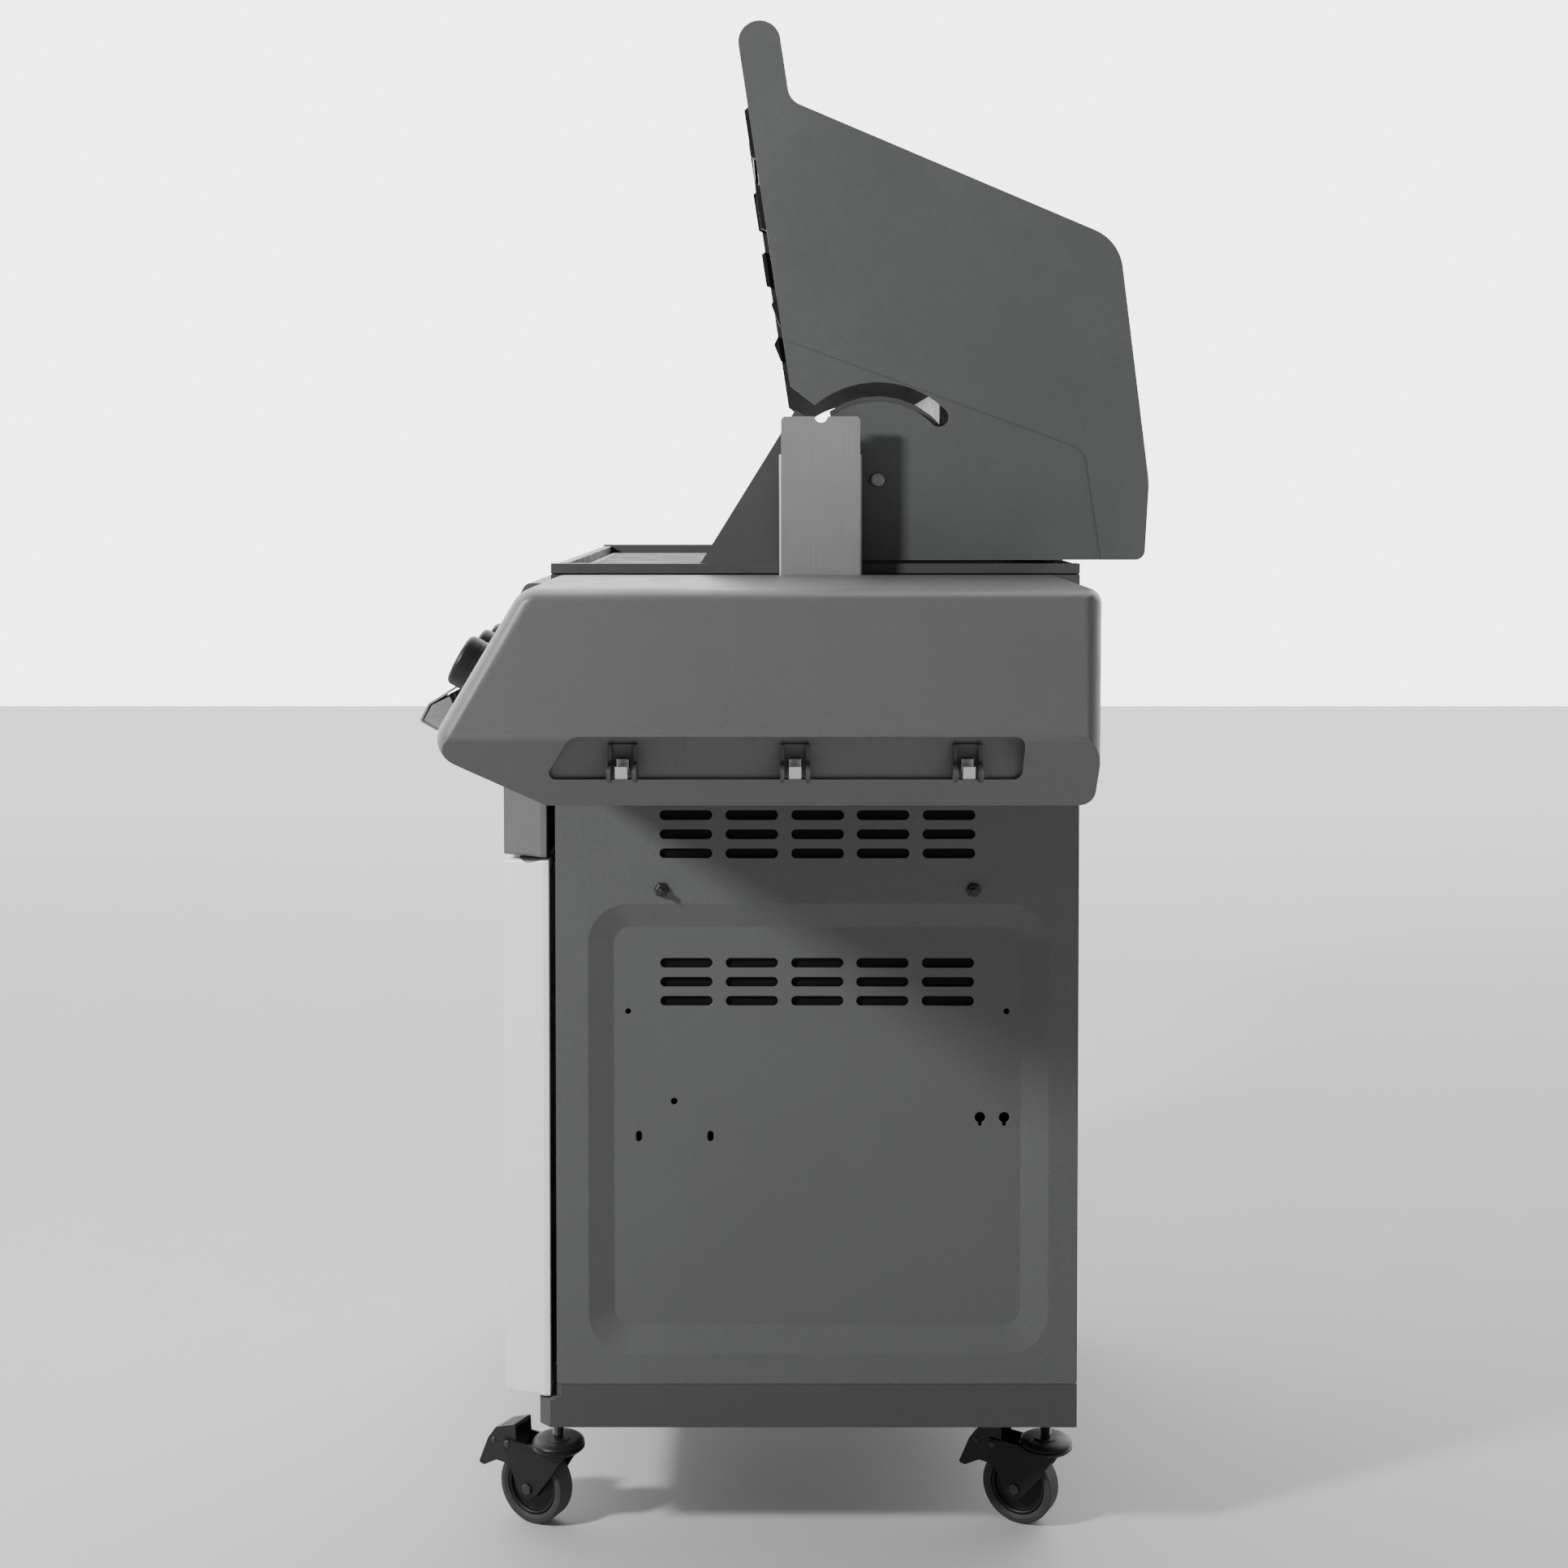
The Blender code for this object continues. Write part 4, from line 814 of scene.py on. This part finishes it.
# ---- cabinet
def build_side(side, sign):
    low = BASE_TOP + GAP
    edge = rectangle(BODY_FRONT, BODY_REAR, low, PANEL_TOP, 0.003)
    border = rectangle(-0.182, 0.300, 0.211, 0.687, 0.043)
    bevelled = rectangle(-0.1805, 0.2985, 0.2125, 0.6855, 0.0415)
    mid = rectangle(-0.156, 0.272, 0.239, 0.661, 0.019)
    field = rectangle(-0.154, 0.270, 0.241, 0.659, 0.017)
    fold = 0.014
    flange = rectangle(BODY_FRONT + fold, BODY_REAR - fold, low + fold, PANEL_TOP - fold, 0.001)
    levels = [(flange, 0.312), (edge, 0.312), (edge, BODY_X), (border, BODY_X), (bevelled, 0.3296),
              (mid, 0.3204), (field, 0.320)]
    panel = pressing("cabinet_side_" + side, [(loop, sign * x) for loop, x in levels], "X", SIDE_SHEET,
                     (sign, 0, 0))
    tools = []
    wide, high = LOUVRE_HALF
    for y in LOUVRE_COLUMNS:
        for z in LOUVRE_ROWS:
            tools.append(slab("louvre", rectangle(y - wide, y + wide, z - high, z + high, 0.00495), "X",
                              sign * CUT_IN, sign * CUT_OUT))
    for y, z, radius in ((-0.140, 0.571, 0.003), (0.256, 0.571, 0.003), (-0.092, 0.476, 0.0035)):
        tools.append(slab("hole", circle(y, z, radius, 20), "X", sign * CUT_IN, sign * CUT_OUT))
    for y, z in ((-0.129, 0.439), (-0.054, 0.439)):
        tools.append(slab("slot", rectangle(y - 0.0031, y + 0.0031, z - 0.0055, z + 0.0055, 0.0030), "X",
                          sign * CUT_IN, sign * CUT_OUT))
    for y in (0.2285, 0.254):
        tail = [(y - 0.0018, 0.4500), (y + 0.0018, 0.4500)]
        tools.append(slab("key", tail + arc((y, 0.4590), 0.0055, -71, 251, 20), "X", sign * CUT_IN,
                          sign * CUT_OUT))
    cut(panel, *tools)
    piece(panel, "root", CHARCOAL, "charcoal_paint", 0.0004, 2, replaces=stands_for("side_panel_" + side))
    studs = []
    for y in (-0.104, 0.220):
        base = toward_x(sign, sign * BODY_X, y, 0.701)
        studs.append(turned("nut", [(0, 0.0048), (0.0056, 0.0048), (0.0066, 0.0040), (0.0066, 0.0004),
                                    (0.0085, 0.0004), (0.0085, 0.0), (0, 0)],
                                    base @ Matrix.Rotation(0.4, 4, "Z"), 6))
        studs.append(turned("end", [(0, 0.0110), (0.0024, 0.0110), (0.0032, 0.0102), (0.0032, 0.0040),
                                    (0, 0.0040)],
                            base, 24))
    piece(joined("cabinet_studs_" + side, studs), "root", BLACK_SCREW, "knob_plastic", 0.0003)
    # Thin near-black sheets just behind the louvre slots: painted shade, not a real part of the cabinet
    painted_shade_sheets = [box("shade", (sign * 0.3258, -0.112, 0.725), (sign * 0.3266, 0.228, 0.793)),
              box("shade", (sign * 0.3158, -0.112, 0.568), (sign * 0.3166, 0.228, 0.636))]
    piece(joined("louvre_shade_" + side, painted_shade_sheets), "root", LOUVRE_PAINTED_SHADE, "charcoal_paint", 0)
    leaf = rounded([(sign * 0.3285, -0.2550, 0.006), (sign * 0.3285, -0.2185, 0.001),
                    (sign * 0.3000, -0.2185, 0.001), (sign * 0.3000, -0.2500, 0.010)], steps=6)
    piece(slab("door_hinge_leaves_" + side, leaf, "Z", 0.7325, 0.7336), "root", BLACK_SCREW, "door_steel",
          0.0002)


# ---- controls
def build_controls():
    for number in (1, 2, 3):
        x = (number - 2) * KNOB_PITCH
        place = Matrix.Translation((x, KNOB_Y, KNOB_Z)) @ Matrix.Rotation(PANEL_SLOPE, 4, "X")
        foot = 0.0075
        profile = [(0, KNOB_FACE - 0.0012), (0.0150, KNOB_FACE - 0.0010), (0.0215, KNOB_FACE - 0.0004)]
        for step in range(0, 91, 10):
            angle = math.radians(step)
            profile.append((KNOB_R - 0.0062 * (1 - math.sin(angle)),
                            KNOB_FACE - 0.0062 * (1 - math.cos(angle))))
        profile += [(KNOB_R, 0.0300), (KNOB_R - 0.0004, 0.0290), (KNOB_R - 0.0004, 0.0282), (KNOB_R, 0.0272),
                    (KNOB_R, foot + 0.0010), (KNOB_R - 0.0010, foot), (0.0275, foot), (0.0255, 0.038),
                    (0.0090, 0.038), (0.0090, foot + 0.004), (0.0044, foot + 0.004), (0.0044, 0.0334),
                    (0, 0.0334)]
        knob = turned("control_knob_%d" % number, profile, None, 96)
        transformed(knob, place)
        piece(knob, "knob_%d" % number, BLACK, "knob_plastic", 0.0003,
              replaces=stands_for("knob_%d" % number))
        mark = slab("knob_pointer_%d" % number, rectangle(-0.0012, 0.0012, 0.0060, 0.0205, 0.0011), "Z",
                    KNOB_FACE - 0.0016, KNOB_FACE - 0.0002)
        transformed(mark, place)
        piece(mark, "knob_%d" % number, PAINT_WHITE, "knob_plastic", 0)
        ring = turned("knob_bezel_%d" % number,
                      [(0.0322, 0.0004), (0.0322, 0.0044), (0.0330, 0.0056), (0.0346, 0.0060),
                       (0.0368, 0.0052), (0.0382, 0.0030), (0.0386, 0.0004)], place, 96, ring=True)
        piece(ring, "root", SHINY, "stainless", 0.0002)


# ---- casters
def build_caster(name, x, y):
    stem = Matrix.Translation((x, y, 0)) @ Matrix.Rotation(math.radians(SWIVEL_DEG), 4, "Z")
    axle = (-AXLE_TRAIL, WHEEL_R)
    disc = [(0, 0.0970), (0.0120, 0.0970), (0.0126, 0.0962), (0.0215, 0.0962), (0.0245, 0.0955),
            (0.0270, 0.0940), (0.0279, 0.0926), (0.0268, 0.0916), (0.0268, 0.0900), (0.0285, 0.0890),
            (0.0285, 0.0872), (0.0262, 0.0850), (0.0230, 0.0836), (0, 0.0836)]
    fork = turned("caster_frame_" + name, disc, None, 56)
    fork_side = rounded([(0.018, 0.0850, 0.003), (-0.062, 0.0885, 0.004), (-0.060, 0.0760, 0.004),
                         (-0.0485, 0.0520, 0.010), (-0.0400, 0.0330, 0.008), (-0.0290, 0.0280, 0.009),
                         (-0.0190, 0.0340, 0.006), (-0.0010, 0.0560, 0.012)], steps=8)
    for side in (-1, 1):
        unite(fork, slab("leg", fork_side, "X", side * 0.0150, side * LEG_OUT))
    unite(fork, box("bridge", (-0.0170, -0.022, 0.0815), (0.0170, 0.0170, 0.0848)))
    piece(transformed(fork, stem), "caster_" + name, CASTER, "caster_plastic", 0.0008, 3,
          replaces=stands_for("caster_fork_" + name))
    thread = [(0, 0.1590)]
    turns = 34
    for step in range(turns):
        z = 0.1585 - (0.1585 - 0.1000) * step / turns
        thread += [(0.0051, z), (0.0060, z - 0.0008)]
    thread += [(0.0052, 0.0995), (0.0052, 0.0971), (0, 0.0971)]
    screw = turned("caster_stem_" + name, thread, stem, 24)
    piece(screw, "caster_" + name, BLACK_SCREW, "stainless", 0)
    nut = turned("nut", [(0.0061, 0.1306), (0.0095, 0.1306), (0.0104, 0.1298), (0.0104, 0.1230),
                         (0.0095, 0.1222), (0.0061, 0.1222)], stem, 6, ring=True)
    washer = turned("washer", [(0.0061, 0.1320), (0.0125, 0.1320), (0.0125, 0.1308), (0.0061, 0.1308)], stem,
                    40, ring=True)
    piece(joined("caster_nut_" + name, [nut, washer]), "caster_" + name, BLACK_SCREW, "stainless", 0.0003)
    rivets = []
    across = {1: Matrix.Rotation(math.pi / 2, 4, "Y"), -1: Matrix.Rotation(-math.pi / 2, 4, "Y")}
    for side in (-1, 1):
        rivets.append(screw_rivet(stem @ Matrix.Translation((side * LEG_OUT, *BRAKE_PIVOT)) @ across[side],
                                  0.0040))
        rivets.append(turned("bolt", [(0, 0.0030), (0.0052, 0.0030), (0.0062, 0.0022), (0.0062, 0)],
                             stem @ Matrix.Translation((side * LEG_OUT, *axle)) @ across[side], 6))
    piece(joined("caster_rivets_" + name, rivets), "caster_" + name, BLACK_SCREW, "stainless", 0.0002)
    tread = [(0.0340, 0.0120), (0.0376, 0.0120), (0.0391, 0.0114), (0.0398, 0.0102), (0.0400, 0.0086),
             (0.0400, 0.0), (0.0400, -0.0086), (0.0398, -0.0102), (0.0391, -0.0114), (0.0376, -0.0120),
             (0.0340, -0.0120), (0.0308, -0.0100), (0.0302, -0.0055), (0.0302, 0.0055),
             (0.0308, 0.0100)]
    centre = stem @ Matrix.Translation((0, *axle)) @ Matrix.Rotation(math.pi / 2, 4, "Y")
    tyre = turned("caster_tyre_" + name, tread, centre, 72, ring=True)
    piece(tyre, "wheel_" + name, TYRE, "caster_tyre", 0.0002, replaces=stands_for("caster_wheel_" + name))
    rim = [(0.0301, 0.0092), (0.0286, 0.0100), (0.0270, 0.0090), (0.0262, 0.0055), (0.0130, 0.0050),
           (0.0116, 0.0075), (0.0106, 0.0118), (0.0043, 0.0120)]
    hub = turned("caster_hub_" + name, rim + [(r, -z) for r, z in rim[::-1]], centre, 72, ring=True)
    piece(hub, "wheel_" + name, CASTER, "caster_tyre", 0.0003)
    cheek = [(-0.0470, 0.1055, 0.0015), (-0.0728, 0.0972, 0.004), (-0.0835, 0.0830, 0.008),
             (-0.0960, 0.0535, 0.002), (-0.0885, 0.0520, 0.003), (-0.0720, 0.0612, 0.004),
             (-0.0558, 0.0600, 0.005), (-0.0500, 0.0750, 0.004), (-0.0460, 0.0900, 0.003)]
    lobes = [(-0.0470, 0.1055, 0.001), (-0.0728, 0.0972, 0.003), (-0.0835, 0.0830, 0.006),
             (-0.0960, 0.0535, 0.002), (-0.0885, 0.0520, 0.003), (-0.0775, 0.0720, 0.006),
             (-0.0745, 0.0850, 0.004), (-0.0660, 0.0925, 0.004), (-0.0470, 0.1010, 0.001)]
    pedal = slab("caster_brake_" + name, rounded(lobes), "X", -0.0133, 0.0133)
    for side in (-1, 1):
        unite(pedal, slab("plate", rounded(cheek), "X", side * 0.0128, side * PEDAL_OUT))
    ridges = []
    for step in range(4):
        y, z = -0.0500 - 0.0052 * step, 0.1045 - 0.00167 * step
        ridges.append(slab("ridge", rounded([(y - 0.0012, z - 0.0010, 0), (y + 0.0012, z - 0.0010, 0),
                                             (y + 0.0008, z + 0.0008, 0.0004),
                                             (y - 0.0008, z + 0.0004, 0.0004)]),
                           "X", -0.0115, 0.0115))
    unite(pedal, *ridges)
    piece(transformed(pedal, stem), "brake_" + name, CASTER, "caster_plastic", 0.0005, 2,
          replaces=stands_for("brake_pedal_" + name))
    pins = []
    for side in (-1, 1):
        pins.append(screw_rivet(stem @ Matrix.Translation((side * PEDAL_OUT, -0.0755,
                                                           0.0825)) @ across[side], 0.0032))
    piece(joined("brake_rivets_" + name, pins), "brake_" + name, BLACK_SCREW, "stainless", 0)


def screw_rivet(place, radius):
    dome = [(0, 0.0018)] + [(radius * math.sin(math.radians(step)), 0.0018 * math.cos(math.radians(step)))
                            for step in range(20, 91, 14)] + [(radius, 0.0), (0, 0.0)]
    return turned("rivet", dome, place, 24)


def build_tray_grip():
    """Pull handle: a folded lip between two end gussets, with ribs behind it."""
    root = -0.3186
    lip = rounded([(-0.3656, 0.8803, 0), (-0.3882, 0.8662, 0.004), (-0.3975, 0.8479, 0.001),
                   (-0.3806, 0.8386, 0.004), (-0.3450, 0.8297, 0.006), (root, 0.8292, 0)], closed=False)
    skin = sheet("tray_pull", lip, "X", -0.0683, 0.0683, 0.0024, -1)
    gusset = rounded([(root, 0.8296, 0), (root, 0.8448, 0), (-0.3450, 0.8498, 0.010),
                      (-0.3615, 0.8640, 0.006), (-0.3655, 0.8760, 0.002), (-0.3866, 0.8655, 0.004),
                      (-0.3960, 0.8480, 0.002), (-0.3806, 0.8390, 0.004), (-0.3450, 0.8300, 0.006)])
    ribs = [slab("rib", gusset, "X", x - 0.0011, x + 0.0011) for x in (-0.0665, -0.0330, 0.0, 0.0330, 0.0665)]
    unite(skin, *ribs)
    piece(skin, "tray", GREY_PLASTIC, "tray_grip", 0.0004, 2, replaces=stands_for("tray_handle"))


def build_spit_brackets():
    """Stainless channel, open toward the body, with a round seat in its top edge and a pressed foot."""
    front, rear, top, middle = 0.018, 0.103, 1.192, 0.061
    face, skin, fold_top = 0.3535, 0.0018, 1.153
    for side, sign in SIDES.items():
        seat = arc((middle, top + 0.0005), 0.0068, -4, -176, 20)
        outline = rounded([(front + 0.002, 0.952, 0.001), (rear - 0.002, 0.952, 0.001),
                           (rear - 0.002, top, 0.003)], closed=False, steps=4)[:-1]
        outline += [(rear - 0.002, top - 0.003), (rear - 0.005, top)]
        outline += seat + [(front + 0.005, top), (front + 0.002, top - 0.003)]
        bracket = slab("spit_stand_" + side, outline, "X", sign * (face - skin), sign * face)
        channel = rounded([(sign * 0.3345, front, 0), (sign * face, front, 0.0030),
                           (sign * face, rear, 0.0030), (sign * 0.3345, rear, 0),
                           (sign * 0.3345, rear - skin, 0), (sign * (face - skin), rear - skin, 0.0012),
                           (sign * (face - skin), front + skin, 0.0012), (sign * 0.3345, front + skin, 0)],
                           steps=6)
        unite(bracket, slab("channel", channel, "Z", 0.9525, fold_top))
        unite(bracket, box("foot", (sign * (CHEEK_OUT + GAP), front + 0.010, 0.960),
                           (sign * (face - skin / 2), rear - 0.010, 1.010)))
        piece(bracket, "root", STAND, "stainless", 0.0004, 2, replaces=stands_for("spit_bracket_" + side))


# ---- firebox details
def build_firebox():
    for number in (1, 2, 3):
        x = (number - 2) * BURNER_PITCH
        ports = []
        for step in range(26):
            y = -0.070 + step * PORT_PITCH
            for lean in (-1, 1):
                top = Matrix.Translation((x, y, 0.925)) @ Matrix.Rotation(lean * math.radians(40), 4, "Y")
                ports.append(turned("port", [(0.0006, 0.0121), (0.0012, 0.0124), (0.0018, 0.0121)], top, 10,
                                    ring=True))
        piece(joined("burner_ports_%d" % number, ports), "root", BLACK_SCREW, "stainless", 0)




# ---- assembly
build_lid()
for side_name, side_sign in SIDES.items():
    build_table(side_name, side_sign)
    build_side(side_name, side_sign)
build_controls()
for caster_name, (caster_x, caster_y) in CASTERS.items():
    build_caster(caster_name, caster_x, caster_y)
build_tray_grip()
build_spit_brackets()
build_firebox()
soften_cad()


# ---- camera, light, floor
def build_stage():
    corners = [(-FLOOR_HALF, -FLOOR_HALF), (FLOOR_HALF, -FLOOR_HALF),
               (FLOOR_HALF, FLOOR_HALF), (-FLOOR_HALF, FLOOR_HALF)]
    floor = loft("studio_floor", [(corners, 0.0), (corners, -0.02)], "Z")
    floor.data.materials.append(FLOOR)
    world = bpy.data.worlds.new("studio")
    bpy.context.scene.world = world
    world.use_nodes = True
    tree = world.node_tree
    tree.nodes["Background"].inputs["Color"].default_value = (1, 1, 1, 1)
    split = tree.nodes.new("ShaderNodeSeparateXYZ")
    tree.links.new(tree.nodes.new("ShaderNodeTexCoord").outputs["Generated"], split.inputs["Vector"])
    fade = tree.nodes.new("ShaderNodeMapRange")
    fade.interpolation_type = "SMOOTHSTEP"
    for socket, number in zip(("From Min", "From Max", "To Min", "To Max"), WORLD_FADE):
        fade.inputs[socket].default_value = number
    tree.links.new(split.outputs["X"], fade.inputs["Value"])
    tree.links.new(fade.outputs["Result"], tree.nodes["Background"].inputs["Strength"])
    for name, place, aim, size, power in LAMPS:
        lamp = bpy.data.lights.new(name, "AREA")
        lamp.shape = "RECTANGLE"
        lamp.size, lamp.size_y = size
        lamp.energy = power
        obj = bpy.data.objects.new(name, lamp)
        obj.location = place
        obj.rotation_euler = (Vector(aim) - Vector(place)).to_track_quat("-Z", "Y").to_euler()
        bpy.context.scene.collection.objects.link(obj)
    view = bpy.data.cameras.new("camera")
    view.lens = CAMERA_LENS
    view.sensor_width = 36.0
    view.shift_y = CAMERA_SHIFT
    camera = bpy.data.objects.new("camera", view)
    camera.location = CAMERA_PLACE
    camera.rotation_euler = (math.pi / 2 - CAMERA_TILT, 0, math.pi / 2)
    bpy.context.scene.collection.objects.link(camera)
    bpy.context.scene.camera = camera


WORLD_FADE = (-0.70, 0.15, 4.5, 0.14)      # from the bright backdrop behind to the dim room in front
LAMPS = [
    ("key", (1.55, -2.10, 2.12), (0.33, 0.0, 0.70), (0.28, 0.28), 114),
    ("side_fill", (2.6, 1.7, 0.9), (0.33, 0.1, 0.55), (1.6, 1.6), 9),
]
build_stage()
